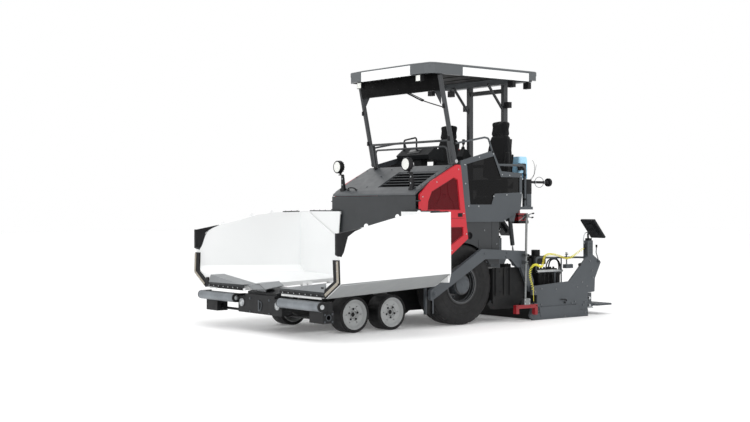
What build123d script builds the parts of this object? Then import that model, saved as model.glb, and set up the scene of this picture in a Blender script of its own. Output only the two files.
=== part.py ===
from build123d import *
import os
from math import atan2, cos, degrees, hypot, pi, radians, sin, tan

# Wheeled asphalt paver, millimetres, +X towards the hopper, +Y to the left, +Z up
# Every length along X below is measured from the rear axle, and save() moves the
# finished pieces so that the origin lies under the middle of the whole machine
axle_to_middle = 100.0

# Clearances
seat = 0.3
running = 0.05

# Front wheels, two in line on each side, solid rubber
front_r = 230.0
front_width = 250.0
front_outer_y = 800.0
front_rim_r = 190.0
front_axle_x = 1450.0
front_spread = 302.0
kingpin_y = 600.0
kingpin_r = 20.0
stub_r = 30.0

# Rear wheels
rear_r = 546.0
rear_width = 365.0
rear_bead_r = 254.0
rear_stub_r = 60.0
hub_cap_r = 135.0

# Main frame
frame_y = 355.0
frame_plate = 20.0
frame_bottom = 190.0
frame_front = 2500.0
frame_rear = -775.0

# Push rollers and front beam
roller_x = 2690.0
roller_z = 410.0
roller_r = 59.0
roller_inner_y = 520.0
roller_outer_y = 1370.0
roller_pin_r = 15.0
beam_half = 500.0
beam_z = (235.0, 440.0)
end_plate_t = 18.0
lug_bore_r = 28.0
lug_y = (1060.0, 1340.0)
lug_z = (205.0, 335.0)

# Hopper
wing_pivot_y = 380.0
wing_pivot_z = 500.0
wing_pin_r = 15.0
wing_tube_r = 28.0
wing_rear_x = 905.0
wing_front_x = 2620.0
wing_wall = 42.0
wing_outer_y = 1640.0
knee_y = 1656.0
hopper_wall_x = 880.0
hopper_wall_t = 12.0
hopper_top_z = 1526.0

# Body and hood
body_half = 905.0
rear_outer_y = body_half - 15
deck_half = body_half - 45
housing_half = body_half - 155
wall_y = (body_half - 37, body_half - 17)
door_t = 34.0
door_inner_y = body_half - 7
hood_front_x = 854.0
lamp_y = body_half - 157
lamp_z = 2148.0
lamp_r = 90.0

# Operator platform
floor_z = 1385.0
floor_t = 40.0
guard_t = 24.0
post_top_z = 3349.0
seat_y = 548.0
rear_post_x = -1295.0
rear_post_y = 363.0

# Canopy
roof_half = 910.0
roof_z = (post_top_z + 1, post_top_z + 151)
roof_x = (-1420.0, 620.0)

# Tow arms and screed
tow_x = 600.0
tow_z = 445.0
tow_pin_r = 30.0
arm_y = (body_half + 40, body_half + 95)
screed_half = body_half + 50
main_x = (-1750.0, -1300.0)
ext_x = (-2330.0, -1800.0)
side_plate_y = (screed_half + 11, screed_half + 39)
guide_r = 14.0
post_x = (-2483.0, -2375.0)
post_top = 1098.0
hand_rail = (850.0, 868.0)
cord_start = (post_x[1] + 30, side_plate_y[1] - 49, 985)
cord_second = (-2245, side_plate_y[1] - 56, 940)
guide_x = -1775.0
guide_z = (110.0, 240.0)
hose_r = 11.0
walkway_pivot_x = -2600.0
walkway_pivot_z = 150.0
walkway_rear_x = -2949.0

# Lift cylinders
lift_y = body_half - 70
lift_top = (-940.0, 1420.0)
lift_eye = (-1030.0, 800.0)
lift_pin_r = 15.0

# Auger
auger_x = -950.0
auger_z = 330.0
auger_r = 160.0
auger_y = (60.0, body_half - 45)
auger_pitch = 260.0


def side_plane(y):
    return Plane(origin=(0, y, 0), x_dir=(1, 0, 0), z_dir=(0, -1, 0))


def front_plane(x):
    return Plane(origin=(x, 0, 0), x_dir=(0, 1, 0), z_dir=(1, 0, 0))


def slab(plane, points, thick):
    """A flat plate: points on the plane, thick along its normal"""
    with BuildPart() as plate:
        with BuildSketch(plane):
            with BuildLine():
                Polyline(*points, close=True)
            make_face()
        extrude(amount=thick)
    return plate.part


def slab_y(points, low, high):
    """Points are (x, z)"""
    return slab(side_plane(high), points, high - low)


def slab_x(points, low, high):
    """Points are (y, z)"""
    return slab(front_plane(low), points, high - low)


def slab_z(points, low, high):
    """Points are (x, y)"""
    return slab(Plane.XY.offset(low), points, high - low)


def block(x, y, z):
    """x, y and z are (low, high)"""
    return slab_z([(x[0], y[0]), (x[1], y[0]), (x[1], y[1]), (x[0], y[1])], z[0], z[1])


def rod(start, end, r, bore=0.0):
    """A round bar or tube between two points"""
    line = Vector(*end) - Vector(*start)
    with BuildPart() as bar:
        with BuildSketch(Plane(origin=start, z_dir=line)):
            Circle(r)
            if bore > 0:
                Circle(bore, mode=Mode.SUBTRACT)
        extrude(amount=line.length)
    return bar.part


def pipe(points, r, bend):
    """A bent round tube along points, with one bend radius or one for each corner"""
    with BuildPart() as bent:
        with BuildLine() as path:
            FilletPolyline(*points, radius=bend)
        first = Vector(*points[1]) - Vector(*points[0])
        with BuildSketch(Plane(origin=points[0], z_dir=first)):
            Circle(r)
        sweep(path=path.line)
    return bent.part


def turned(points, x, z):
    """A body turned about the cross axis at x, z. Points are (y, radius)"""
    with BuildPart() as solid:
        with BuildSketch(Plane(origin=(x, 0, z), x_dir=(0, 1, 0), z_dir=(1, 0, 0))):
            with BuildLine():
                Polyline(*points, close=True)
            make_face()
        revolve(axis=Axis((x, 0, z), (0, 1, 0)))
    return solid.part


def turned_x(points, y, z):
    """A body turned about the lengthways axis at y, z. Points are (x, radius)"""
    with BuildPart() as solid:
        with BuildSketch(Plane(origin=(0, y, z), x_dir=(1, 0, 0), z_dir=(0, -1, 0))):
            with BuildLine():
                Polyline(*points, close=True)
            make_face()
        revolve(axis=Axis((0, y, z), (1, 0, 0)))
    return solid.part


def other_side(part):
    return mirror(part, about=Plane.XZ, mode=Mode.PRIVATE)


def save(part, name):
    placed = part.moved(Location((axle_to_middle, 0, 0)))
    placed.label = name
    export_step(placed, "parts/" + name + ".step")


os.makedirs("parts", exist_ok=True)
wheel_xs = {"rear": front_axle_x - front_spread, "front": front_axle_x + front_spread}

# Rear wheel: smooth tyre with round shoulders, deep rim and planetary hub
rear_inner_y = rear_outer_y - rear_width
tyre_shape = [
    # y, radius
    (rear_inner_y + 40, rear_bead_r + seat),
    (rear_outer_y - 40, rear_bead_r + seat),
    (rear_outer_y - 12, rear_bead_r + 40),
    (rear_outer_y, rear_r - 190),
    (rear_outer_y - 6, rear_r - 90),
    (rear_outer_y - 30, rear_r - 35),
    (rear_outer_y - 75, rear_r - 6),
    (rear_outer_y - 110, rear_r),
    (rear_inner_y + 110, rear_r),
    (rear_inner_y + 75, rear_r - 6),
    (rear_inner_y + 30, rear_r - 35),
    (rear_inner_y + 6, rear_r - 90),
    (rear_inner_y, rear_r - 190),
    (rear_inner_y + 12, rear_bead_r + 40),
]
with BuildPart() as rear_tyre_left:
    add(turned(tyre_shape, 0, rear_r))
rim_shape = [
    # y, radius
    (rear_inner_y + 30, rear_bead_r - 22),
    (rear_outer_y - 60, rear_bead_r - 22),
    (rear_outer_y - 30, rear_bead_r - 12),
    (rear_outer_y - 22, rear_bead_r + 14),
    (rear_outer_y - 34, rear_bead_r + 6),
    (rear_outer_y - 40, rear_bead_r),
    (rear_inner_y + 40, rear_bead_r),
    (rear_inner_y + 30, rear_bead_r + 8),
]
disc_y = rear_outer_y - 190
with BuildPart() as rear_rim_left:
    add(turned(rim_shape, 0, rear_r))
    add(rod((0, disc_y - 30, rear_r), (0, disc_y, rear_r), rear_bead_r - 20))
    add(rod((0, rear_inner_y + 60, rear_r), (0, disc_y, rear_r), hub_cap_r - 20))
    add(rod((0, disc_y, rear_r), (0, rear_outer_y - 12, rear_r), hub_cap_r))
    add(rod((0, rear_outer_y - 12, rear_r), (0, rear_outer_y - 2, rear_r), hub_cap_r - 14))
    with BuildSketch(side_plane(disc_y - 40)):
        with Locations((0, rear_r)):
            Circle(rear_stub_r + running)
    extrude(amount=disc_y - rear_inner_y, mode=Mode.SUBTRACT)
save(rear_tyre_left.part, "rear_tyre_left")
save(other_side(rear_tyre_left.part), "rear_tyre_right")
save(rear_rim_left.part, "rear_rim_left")
save(other_side(rear_rim_left.part), "rear_rim_right")

# Front wheels and their steering knuckles
front_inner_y = front_outer_y - front_width
arm_half = 35.0
knuckle_ear = 17.0
eye_half = 35.0
front_disc_y = front_outer_y - 45
for place, wheel_x in wheel_xs.items():
    with BuildPart() as tyre:
        add(
            turned(
                [
                    (front_inner_y, front_rim_r + seat),
                    (front_outer_y, front_rim_r + seat),
                    (front_outer_y, front_r - 14),
                    (front_outer_y - 14, front_r),
                    (front_inner_y + 14, front_r),
                    (front_inner_y, front_r - 14),
                ],
                wheel_x,
                front_r,
            )
        )
    with BuildPart() as rim:
        add(
            turned(
                [
                    (front_inner_y + 8, front_rim_r - 14),
                    (front_disc_y - 14, front_rim_r - 14),
                    (front_disc_y - 14, stub_r + running),
                    (front_disc_y, stub_r + running),
                    (front_disc_y, 78),
                    (front_disc_y + 8, 84),
                    (front_disc_y + 8, front_rim_r - 40),
                    (front_outer_y - 6, front_rim_r - 12),
                    (front_outer_y - 6, front_rim_r),
                    (front_inner_y + 8, front_rim_r),
                ],
                wheel_x,
                front_r,
            )
        )
        add(
            rod(
                (wheel_x, front_disc_y - 75, front_r),
                (wheel_x, front_disc_y, front_r),
                52,
                stub_r + running,
            )
        )
        with BuildSketch(side_plane(front_disc_y + 20)):
            with Locations((wheel_x, front_r)):
                with PolarLocations(112, 6):
                    Circle(9)
        extrude(amount=50, mode=Mode.SUBTRACT)
    with BuildPart() as knuckle:
        low = front_r - eye_half - 0.5
        high = front_r + eye_half + 0.5
        add(
            rod(
                (wheel_x, kingpin_y, low - knuckle_ear),
                (wheel_x, kingpin_y, high + knuckle_ear),
                kingpin_r,
            )
        )
        for z in (low - knuckle_ear, high):
            add(rod((wheel_x, kingpin_y, z), (wheel_x, kingpin_y, z + knuckle_ear), 42))
            add(block((wheel_x - 42, wheel_x + 42), (kingpin_y, kingpin_y + 78), (z, z + knuckle_ear)))
        add(
            block(
                (wheel_x - 42, wheel_x + 42),
                (kingpin_y + 54, kingpin_y + 78),
                (low - knuckle_ear, high + knuckle_ear),
            )
        )
        add(rod((wheel_x, kingpin_y + 70, front_r), (wheel_x, front_disc_y - 4, front_r), stub_r))
    for piece, name in ((tyre, "tyre"), (rim, "rim"), (knuckle, "knuckle")):
        save(piece.part, f"{name}_{place}_pair_left")
        save(other_side(piece.part), f"{name}_{place}_pair_right")

# Front axle: cross tube with a tandem beam on each end and an eye for each kingpin
axle_tube_r = 55.0
with BuildPart() as front_axle:
    add(rod((front_axle_x, -frame_y - 20, front_r), (front_axle_x, frame_y + 20, front_r), axle_tube_r))
    for side in (1, -1):
        beam = sorted((side * (frame_y + 15), side * (frame_y + 75)))
        add(
            slab_y(
                [
                    (front_axle_x - front_spread - 60, front_r - 30),
                    (front_axle_x - 110, front_r - 75),
                    (front_axle_x + 110, front_r - 75),
                    (front_axle_x + front_spread + 60, front_r - 30),
                    (front_axle_x + front_spread + 60, front_r + 35),
                    (front_axle_x - front_spread - 60, front_r + 35),
                ],
                beam[0],
                beam[1],
            )
        )
        for wheel_x in wheel_xs.values():
            reach = sorted((side * (frame_y + 70), side * kingpin_y))
            add(block((wheel_x - arm_half, wheel_x + arm_half), reach, (front_r - 28, front_r + 28)))
            add(
                rod(
                    (wheel_x, side * kingpin_y, front_r - eye_half),
                    (wheel_x, side * kingpin_y, front_r + eye_half),
                    46,
                )
            )
    for side in (1, -1):
        for wheel_x in wheel_xs.values():
            with BuildSketch(Plane.XY.offset(front_r - 60)):
                with Locations((wheel_x, side * kingpin_y)):
                    Circle(kingpin_r + running)
            extrude(amount=120, mode=Mode.SUBTRACT)
save(front_axle.part, "front_axle")

# Main frame: two side plates, cross members, tow point guides and wheel motor mounts
frame_side = [
    # x, z
    (frame_rear, frame_bottom + 60),
    (-300, frame_bottom),
    (2200, frame_bottom),
    (frame_front, 300),
    (frame_front, 425),
    (860, 425),
    (860, 880),
    (-700, 880),
    (frame_rear, 720),
]
inner_y = frame_y - frame_plate
with BuildPart() as main_frame:
    for side in (1, -1):
        across = sorted((side * inner_y, side * frame_y))
        add(slab_y(frame_side, across[0], across[1]))
        add(
            rod(
                (0, side * (inner_y + 1), rear_r),
                (0, side * (rear_inner_y + 40), rear_r),
                150,
            )
        )
        add(rod((0, side * (rear_inner_y + 30), rear_r), (0, side * (disc_y - 42), rear_r), rear_stub_r))
        guide = sorted((side * (frame_y - 5), side * (body_half - 25)))
        add(block((tow_x - 30, tow_x + 30), guide, (520, 580)))
        for x in (tow_x - 75, tow_x + 45):
            cheek = sorted((side * (body_half - 37), side * (body_half - 5)))
            add(block((x, x + 30), cheek, (180, 640)))
        add(
            block(
                (tow_x - 75, tow_x + 75),
                sorted((side * (body_half - 37), side * (body_half - 25))),
                (180, 640),
            )
        )
    for x in (frame_rear + 10, 150, 800, 2180, frame_front - 60):
        add(block((x, x + 50), (-inner_y - 1, inner_y + 1), (frame_bottom + 60, frame_bottom + 150)))
    add(block((frame_rear + 10, 800), (-inner_y - 1, inner_y + 1), (700, 720)))
    add(block((frame_rear, frame_rear + 20), (-inner_y - 1, inner_y + 1), (540, 720)))
    for side in (1, -1):
        add(
            rod(
                (tow_x, side * (body_half - 25), tow_z),
                (tow_x, side * (arm_y[1] - 6), tow_z),
                tow_pin_r,
            )
        )
        for x in (1150, 1600, 2350):
            across = sorted((side * (inner_y + 2), side * (wing_pivot_y + 22)))
            add(
                slab_x(
                    [
                        (across[0], wing_pivot_z - 85),
                        (across[1], wing_pivot_z - 85),
                        (across[1], wing_pivot_z + 22),
                        (side * (wing_pivot_y - 22), wing_pivot_z + 22),
                        (across[0], wing_pivot_z - 60),
                    ]
                    if side > 0
                    else [
                        (across[1], wing_pivot_z - 85),
                        (across[0], wing_pivot_z - 85),
                        (across[0], wing_pivot_z + 22),
                        (side * (wing_pivot_y - 22), wing_pivot_z + 22),
                        (across[1], wing_pivot_z - 60),
                    ],
                    x,
                    x + 25,
                )
            )
            add(
                rod(
                    (x - 75, side * wing_pivot_y, wing_pivot_z),
                    (x + 100, side * wing_pivot_y, wing_pivot_z),
                    wing_pin_r,
                )
            )
    with BuildSketch(side_plane(600)):
        with Locations((front_axle_x, front_r)):
            Circle(axle_tube_r + seat)
    extrude(amount=1200, mode=Mode.SUBTRACT)
save(main_frame.part, "main_frame")

# Bumper beam with roller brackets, roller shafts and tie-down lugs
beam_front_x = roller_x - 30
with BuildPart() as bumper_beam:
    add(block((frame_front + seat, beam_front_x), (-beam_half, beam_half), beam_z))
    for side in (1, -1):
        add(
            block(
                (frame_front + 40, roller_x - roller_r - 25),
                sorted((side * (beam_half - 2), side * (roller_outer_y + 22))),
                (350, 455),
            )
        )
        for y in (roller_inner_y - end_plate_t - 1, roller_outer_y + 1):
            plate = sorted((side * y, side * (y + end_plate_t)))
            add(rod((roller_x, plate[0], roller_z), (roller_x, plate[1], roller_z), roller_r - 2))
            add(
                block(
                    (frame_front + 40, roller_x),
                    plate,
                    (roller_z - roller_r + 2, roller_z + roller_r - 2),
                )
            )
        add(
            rod(
                (roller_x, side * (roller_inner_y - 10), roller_z),
                (roller_x, side * (roller_outer_y + 10), roller_z),
                roller_pin_r,
            )
        )
        add(
            block(
                (frame_front - 20, beam_front_x - 20),
                sorted((side * lug_y[0], side * lug_y[1])),
                (lug_z[0], 351),
            )
        )
        add(rod((frame_front, side * (beam_half - 2), 240), (frame_front, side * (lug_y[0] + 2), 240), 17))
        with BuildSketch(side_plane(side * 1200 + 200)):
            with Locations((frame_front + 60, (lug_z[0] + lug_z[1]) / 2 + 5)):
                Circle(lug_bore_r)
        extrude(amount=400, mode=Mode.SUBTRACT)
    # Apron plates between the two wings, on top of the beam
    add(
        slab_y(
            [(frame_front + 160, beam_z[1] - 2), (frame_front + 160, 475), (2330, 500), (2330, 470)],
            -wing_pivot_y + 40,
            wing_pivot_y - 40,
        )
    )
    add(
        slab_y(
            [(frame_front + 120, 476), (frame_front + 120, 506), (2340, 572), (2340, 540)],
            -wing_pivot_y + 45,
            wing_pivot_y - 45,
        )
    )
    add(block((2345, 2375), (-wing_pivot_y + 60, wing_pivot_y - 60), (495, 545)))
save(bumper_beam.part, "bumper_beam")

with BuildPart() as push_roller_left:
    add(
        rod(
            (roller_x, roller_inner_y, roller_z),
            (roller_x, roller_outer_y, roller_z),
            roller_r,
            roller_pin_r + running,
        )
    )
save(push_roller_left.part, "push_roller_left")
save(other_side(push_roller_left.part), "push_roller_right")

# Conveyor: floor pan, chains, slats and the centre cover
slat_pitch = 180.0
conveyor_x = (-765.0, 2320.0)
pan_z = 430.0
with BuildPart() as conveyor:
    add(block(conveyor_x, (-inner_y + seat, inner_y - seat), (pan_z, pan_z + 10)))
    add(block((conveyor_x[0], conveyor_x[1]), (-35, 35), (pan_z + 8, pan_z + 95)))
    for side in (1, -1):
        for y in (60, inner_y - 50):
            add(
                block(
                    (conveyor_x[0] + 20, conveyor_x[1] - 20),
                    sorted((side * y, side * (y + 30))),
                    (pan_z + 9, pan_z + 40),
                )
            )
        for i in range(int((conveyor_x[1] - conveyor_x[0] - 60) / slat_pitch) + 1):
            x = conveyor_x[0] + 30 + i * slat_pitch
            add(
                block(
                    (x, x + 28),
                    sorted((side * 62, side * (inner_y - 22))),
                    (pan_z + 39, pan_z + 57),
                )
            )
save(conveyor.part, "conveyor")

# Fixed rear walls of the hopper and the centre apron plate
rear_wall = [
    # y, z
    (inner_y + 30, 600),
    (1600, 640),
    (1634, 760),
    (1628, hopper_top_z),
    (668, hopper_top_z),
    (738, 910),
    (inner_y + 30, 900),
]
with BuildPart() as hopper_rear_walls:
    for side in (1, -1):
        add(slab_x([(side * y, z) for y, z in rear_wall], hopper_wall_x, hopper_wall_x + hopper_wall_t))
        add(
            block(
                (hood_front_x + seat, hopper_wall_x + 1),
                sorted((side * 690, side * (body_half - 5))),
                (hopper_top_z - 40, hopper_top_z),
            )
        )
        add(
            block(
                (860.3, hopper_wall_x + 1),
                sorted((side * (frame_y - 20), side * 560)),
                (600, 640),
            )
        )
    add(block((860.3, hopper_wall_x + hopper_wall_t), (-inner_y - 31, inner_y + 31), (860, 900)))
save(hopper_rear_walls.part, "hopper_rear_walls")



# Hopper wing: a box-section floor and side wall, wider and deeper towards the front
def wing_section(x, bottom, knee_z, floor_in, floor_out):
    return [
        (wing_pivot_y + 60, bottom),
        (1367, bottom),
        (knee_y, knee_z),
        (wing_outer_y, 1600),
        (wing_outer_y - wing_wall, 1600),
        (wing_outer_y - wing_wall + 4, floor_out + 90),
        (wing_outer_y - 150, floor_out),
        (wing_pivot_y + 60, floor_in),
    ]


wing_top = [
    # x, z of the top edge of the side wall
    (2700, 1280),
    (2620, 1280),
    (2220, 1350),
    (1960, 1410),
    (1650, 1480),
    (1340, 1510),
    (900, 1520),
    (900, 1700),
    (2700, 1700),
]
corner_plate = [
    # x, z of the dark plate at the front top corner
    (2658, 1028),
    (2600, 1000),
    (2560, 1060),
    (2500, 1240),
    (2400, 1300),
    (2290, 1337),
    (2290, 1400),
    (2658, 1400),
]
wing_rear_wall = [
    # y, z
    (wing_pivot_y + 70, 585),
    (1620, 660),
    (1620, 1515),
    (1395, 1515),
    (770, 1195),
    (742, 910),
    (wing_pivot_y + 70, 760),
]
with BuildPart() as wing_left:
    with BuildSketch(front_plane(wing_rear_x)):
        with BuildLine():
            Polyline(*wing_section(wing_rear_x, 585, 755, 625, 660), close=True)
        make_face()
    with BuildSketch(front_plane(wing_front_x)):
        with BuildLine():
            Polyline(*wing_section(wing_front_x, 505, 690, 570, 700), close=True)
        make_face()
    loft(ruled=True)
    add(slab_x(wing_rear_wall, wing_rear_x, wing_rear_x + hopper_wall_t))
    add(slab_y(wing_top, 1400, 1700), mode=Mode.SUBTRACT)
    add(slab_y(corner_plate, 1500, 1700), mode=Mode.SUBTRACT)
    # Hinge tubes between the lugs of the frame, each on a web under the floor
    for low, high in ((1085, 1149), (1176, 1240), (1535, 1599), (1626, 1690), (2285, 2349), (2376, 2440)):
        add(
            slab_x(
                [
                    (wing_pivot_y, wing_pivot_z + wing_tube_r),
                    (wing_pivot_y, wing_pivot_z - wing_tube_r),
                    (wing_pivot_y + 60, wing_pivot_z - wing_tube_r + 10),
                    (wing_pivot_y + 160, 590),
                    (wing_pivot_y + 62, 590),
                    (wing_pivot_y + 50, wing_pivot_z + wing_tube_r + 10),
                ],
                low,
                high,
            )
        )
        add(rod((low, wing_pivot_y, wing_pivot_z), (high, wing_pivot_y, wing_pivot_z), wing_tube_r))
    with BuildSketch(front_plane(1000)):
        with Locations((wing_pivot_y, wing_pivot_z)):
            Circle(wing_pin_r + running)
    extrude(amount=1500, mode=Mode.SUBTRACT)
save(wing_left.part, "wing_left")
save(other_side(wing_left.part), "wing_right")

corner_trim = [p for p in corner_plate]
strip = [
    # y, z of the rubber strip on the front edge
    (1638, 967),
    (1656, 690),
    (1367, 506),
    (1300, 545),
    (1300, 640),
    (1350, 640),
    (1350, 600),
    (1545, 715),
    (1530, 967),
]
with BuildPart() as wing_trim_left:
    add(slab_y(corner_trim, wing_outer_y - wing_wall + 0, wing_outer_y - 1))
    add(slab_y(wing_top, 1400, 1700), mode=Mode.SUBTRACT)
    add(slab_x(strip, wing_front_x + seat, wing_front_x + 22))
    add(
        slab_y(
            [(wing_front_x + seat, 515), (2655, 520), (2655, 556), (wing_front_x + seat, 572)],
            wing_pivot_y + 64,
            1310,
        )
    )
save(wing_trim_left.part, "wing_trim_left")
save(other_side(wing_trim_left.part), "wing_trim_right")

# Body under the hood: front panel, bulkhead, side walls and rear housing
arch_r = rear_r + 14
lid_hinge = (165.0, 2128.0)
lid_hinge_y = (-560.0, 0.0, 560.0)
lid_pin_r = 8.0
tray_z = (880 + seat, 900.0)
tray_half = 500.0
port_r = 46.0
door_pin_x = 790.0
door_pin_r = 7.0
door_knuckles = ((1050.0, 1150.0), (1560.0, 1660.0))
door_ear_t = 14.0
door_y = (door_inner_y, door_inner_y + door_t)
door_pin_y = door_inner_y + 20
with BuildPart() as body_panels:
    add(block((hood_front_x - 14, hood_front_x), (-body_half, body_half), (880 + seat, 1735)))
    add(block((20, 60), (-wall_y[0] - 1, wall_y[0] + 1), (880 + seat, 2120)))
    add(block((20, 150), (-deck_half, deck_half), (2098, 2120)))
    add(block((-760, 20 + 1), (-housing_half, housing_half), (880 + seat, floor_z - seat)))
    add(block((59, hood_front_x - 13), (-tray_half, tray_half), tray_z))
    for side in (1, -1):
        wall = sorted((side * wall_y[0], side * wall_y[1]))
        add(
            slab_y(
                [
                    # x, z
                    (-680, 800),
                    (-680, floor_z - seat),
                    (-45, floor_z - seat),
                    (-76, 1160),
                    (240, 935),
                    (hood_front_x - 13, 935),
                    (hood_front_x - 13, 880 + seat),
                    (240, 880 + seat),
                    (240, 800),
                ],
                *wall,
            )
        )
        add(
            block(
                (-680, -640),
                sorted((side * (housing_half - 1), side * (wall_y[0] + 1))),
                (1020, floor_z - seat),
            )
        )
        add(block((600, 660), sorted((side * (tray_half - 1), side * (wall_y[0] + 1))), tray_z))
    for start_y in (body_half + 295, -rear_inner_y + 5):
        with BuildSketch(side_plane(start_y)):
            with Locations((0, rear_r)):
                Circle(arch_r)
        extrude(amount=body_half + 300 - rear_inner_y, mode=Mode.SUBTRACT)
    # Joints between the side panels, and the round port behind each door
    for side in (1, -1):
        for x, low, high in ((-540, 990, floor_z), (-290, 990, 1142)):
            groove = sorted((side * (wall_y[1] - 5), side * (wall_y[1] + 1)))
            add(block((x - 3, x + 3), groove, (low, high)), mode=Mode.SUBTRACT)
        add(
            rod((-128, side * (wall_y[0] - 2), 1200), (-128, side * (wall_y[1] + 2), 1200), port_r),
            mode=Mode.SUBTRACT,
        )
    # Hinge ears and pins of the hood lid
    for y in lid_hinge_y:
        for low in (y - 40, y + 28):
            add(block((120, lid_hinge[0] + 9), (low, low + 12), (2119, lid_hinge[1] + 10)))
        add(rod((lid_hinge[0], y - 40, lid_hinge[1]), (lid_hinge[0], y + 40, lid_hinge[1]), lid_pin_r))
    # Hinge ears and pins of the side doors
    for side in (1, -1):
        for low, high in door_knuckles:
            add(
                rod(
                    (door_pin_x, side * door_pin_y, low - seat - door_ear_t),
                    (door_pin_x, side * door_pin_y, high + seat + door_ear_t),
                    door_pin_r,
                )
            )
            for z in (low - seat - door_ear_t, high + seat):
                ear_z = (z, z + door_ear_t)
                outer = sorted((side * (door_pin_y - 12), side * (door_pin_y + 12)))
                inner = sorted((side * (body_half - 9), side * (door_pin_y + 12)))
                add(
                    rod(
                        (door_pin_x, side * door_pin_y, z),
                        (door_pin_x, side * door_pin_y, z + door_ear_t),
                        12,
                    )
                )
                add(block((door_pin_x, hood_front_x - 2), outer, ear_z))
                add(block((door_pin_x + 16, hood_front_x - 2), inner, ear_z))
save(body_panels.part, "body_panels")

with BuildPart() as battery_block:
    add(block((120, 720), (-490, 490), (tray_z[1] + seat, 1600)))
save(battery_block.part, "battery_block")

# Hood lid with a louvred opening on its left half
lid_half = door_inner_y - 8
lid_shape = [
    # x, z
    (hood_front_x, 1740),
    (hood_front_x, 1760),
    (790, 1812),
    (510, 1975),
    (182, 2150),
    (182, 2124),
    (500, 1950),
    (780, 1786),
    (838, 1740),
]
louvre_x = (330.0, 720.0)
louvre_y = (-40.0, 790.0)
slope = atan2(1975 - 1812, 790 - 510)
with BuildPart() as hood_lid:
    add(slab_y(lid_shape, -lid_half, lid_half))
    front_bend = [e for e in hood_lid.part.edges().filter_by(Axis.Y) if abs(e.center().Z - 1760) < 1]
    fillet(front_bend, 34)
    add(block(louvre_x, louvre_y, (1700, 2200)), mode=Mode.SUBTRACT)
    slats = 6
    for i in range(slats):
        x = louvre_x[0] + (i + 0.5) * (louvre_x[1] - louvre_x[0]) / slats
        z = 1975 - (x - 510) * tan(slope) - 18
        add(
            slab_y(
                [(x - 26, z + 2), (x + 20, z - 4), (x + 20, z + 2), (x - 26, z + 8)],
                louvre_y[0] - 1,
                louvre_y[1] + 1,
            )
        )
    for y in lid_hinge_y:
        add(rod((lid_hinge[0], y - 27, lid_hinge[1]), (lid_hinge[0], y + 27, lid_hinge[1]), 13))
        add(block((lid_hinge[0], 190), (y - 27, y + 27), (lid_hinge[1] - 2, lid_hinge[1] + 12)))
        add(
            rod(
                (lid_hinge[0], y - 30, lid_hinge[1]),
                (lid_hinge[0], y + 30, lid_hinge[1]),
                lid_pin_r + running,
            ),
            mode=Mode.SUBTRACT,
        )
save(hood_lid.part, "hood_lid")

lamp_shape = [
    # x, radius
    (786, 0),
    (786, 30),
    (796, 58),
    (815, 80),
    (840, lamp_r),
    (882, lamp_r),
    (890, lamp_r - 6),
    (890, lamp_r - 14),
    (884, lamp_r - 16),
    (884, 0),
]
with BuildPart() as hood_lamps:
    for side in (1, -1):
        y = side * lamp_y
        add(turned_x(lamp_shape, y, lamp_z))
        add(rod((822, y, 2030), (822, y, lamp_z - lamp_r + 12), 14))
        add(block((784, 836), (y - 30, y + 30), (2030, 2044)))
        add(block((784, 792), (y - 30, y + 30), (1830, 2031)))
        for rib in (y - 30, y + 22):
            add(slab_y([(752, 1835), (790, 1835), (790, 2040), (782, 2040)], rib, rib + 8))
        add(slab_y([(745, 1839), (790, 1813), (800, 1807), (800, 1842), (745, 1848)], y - 42, y + 42))
save(hood_lamps.part, "hood_lamps")

# Side door: frame with two windows, each filled by a perforated sheet
door_outline = [
    # x, z
    (door_pin_x, 1750),
    (590, 1925),
    (510, 1965),
    (150, 2150),
    (75, 2150),
    (10, 1640),
    (-60, 1162),
    (240, 952),
    (door_pin_x, 952),
]
upper_window = [(200, 1980), (590, 1790), (650, 1660), (660, 1545), (80, 1545), (130, 1950)]
lower_window = [(700, 1320), (30, 1320), (26, 1205), (240, 1080), (700, 1080)]
with BuildPart() as side_door_left:
    add(slab_y(door_outline, *door_y))
    fillet(side_door_left.part.edges().filter_by(Axis.Y).group_by(Axis.Z)[-1], 30)
    for window in (upper_window, lower_window):
        add(slab_y(window, door_y[0] - 1, door_y[0] + 14), mode=Mode.SUBTRACT)
        add(slab_y(window, door_y[1] - 16, door_y[1] + 1), mode=Mode.SUBTRACT)
    for low, high in door_knuckles:
        notch = (low - seat - door_ear_t - 3, high + seat + door_ear_t + 3)
        add(
            block((door_pin_x - 16, door_pin_x + 16), (door_y[0] - 1, door_y[1] + 1), notch),
            mode=Mode.SUBTRACT,
        )
        add(block((door_pin_x - 17, door_pin_x), (door_pin_y - 14, door_pin_y + 14), (low, high)))
        add(rod((door_pin_x, door_pin_y, low), (door_pin_x, door_pin_y, high), 14))
        add(
            rod(
                (door_pin_x, door_pin_y, low - 1),
                (door_pin_x, door_pin_y, high + 1),
                door_pin_r + running,
            ),
            mode=Mode.SUBTRACT,
        )
save(side_door_left.part, "side_door_left")
save(other_side(side_door_left.part), "side_door_right")

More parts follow.
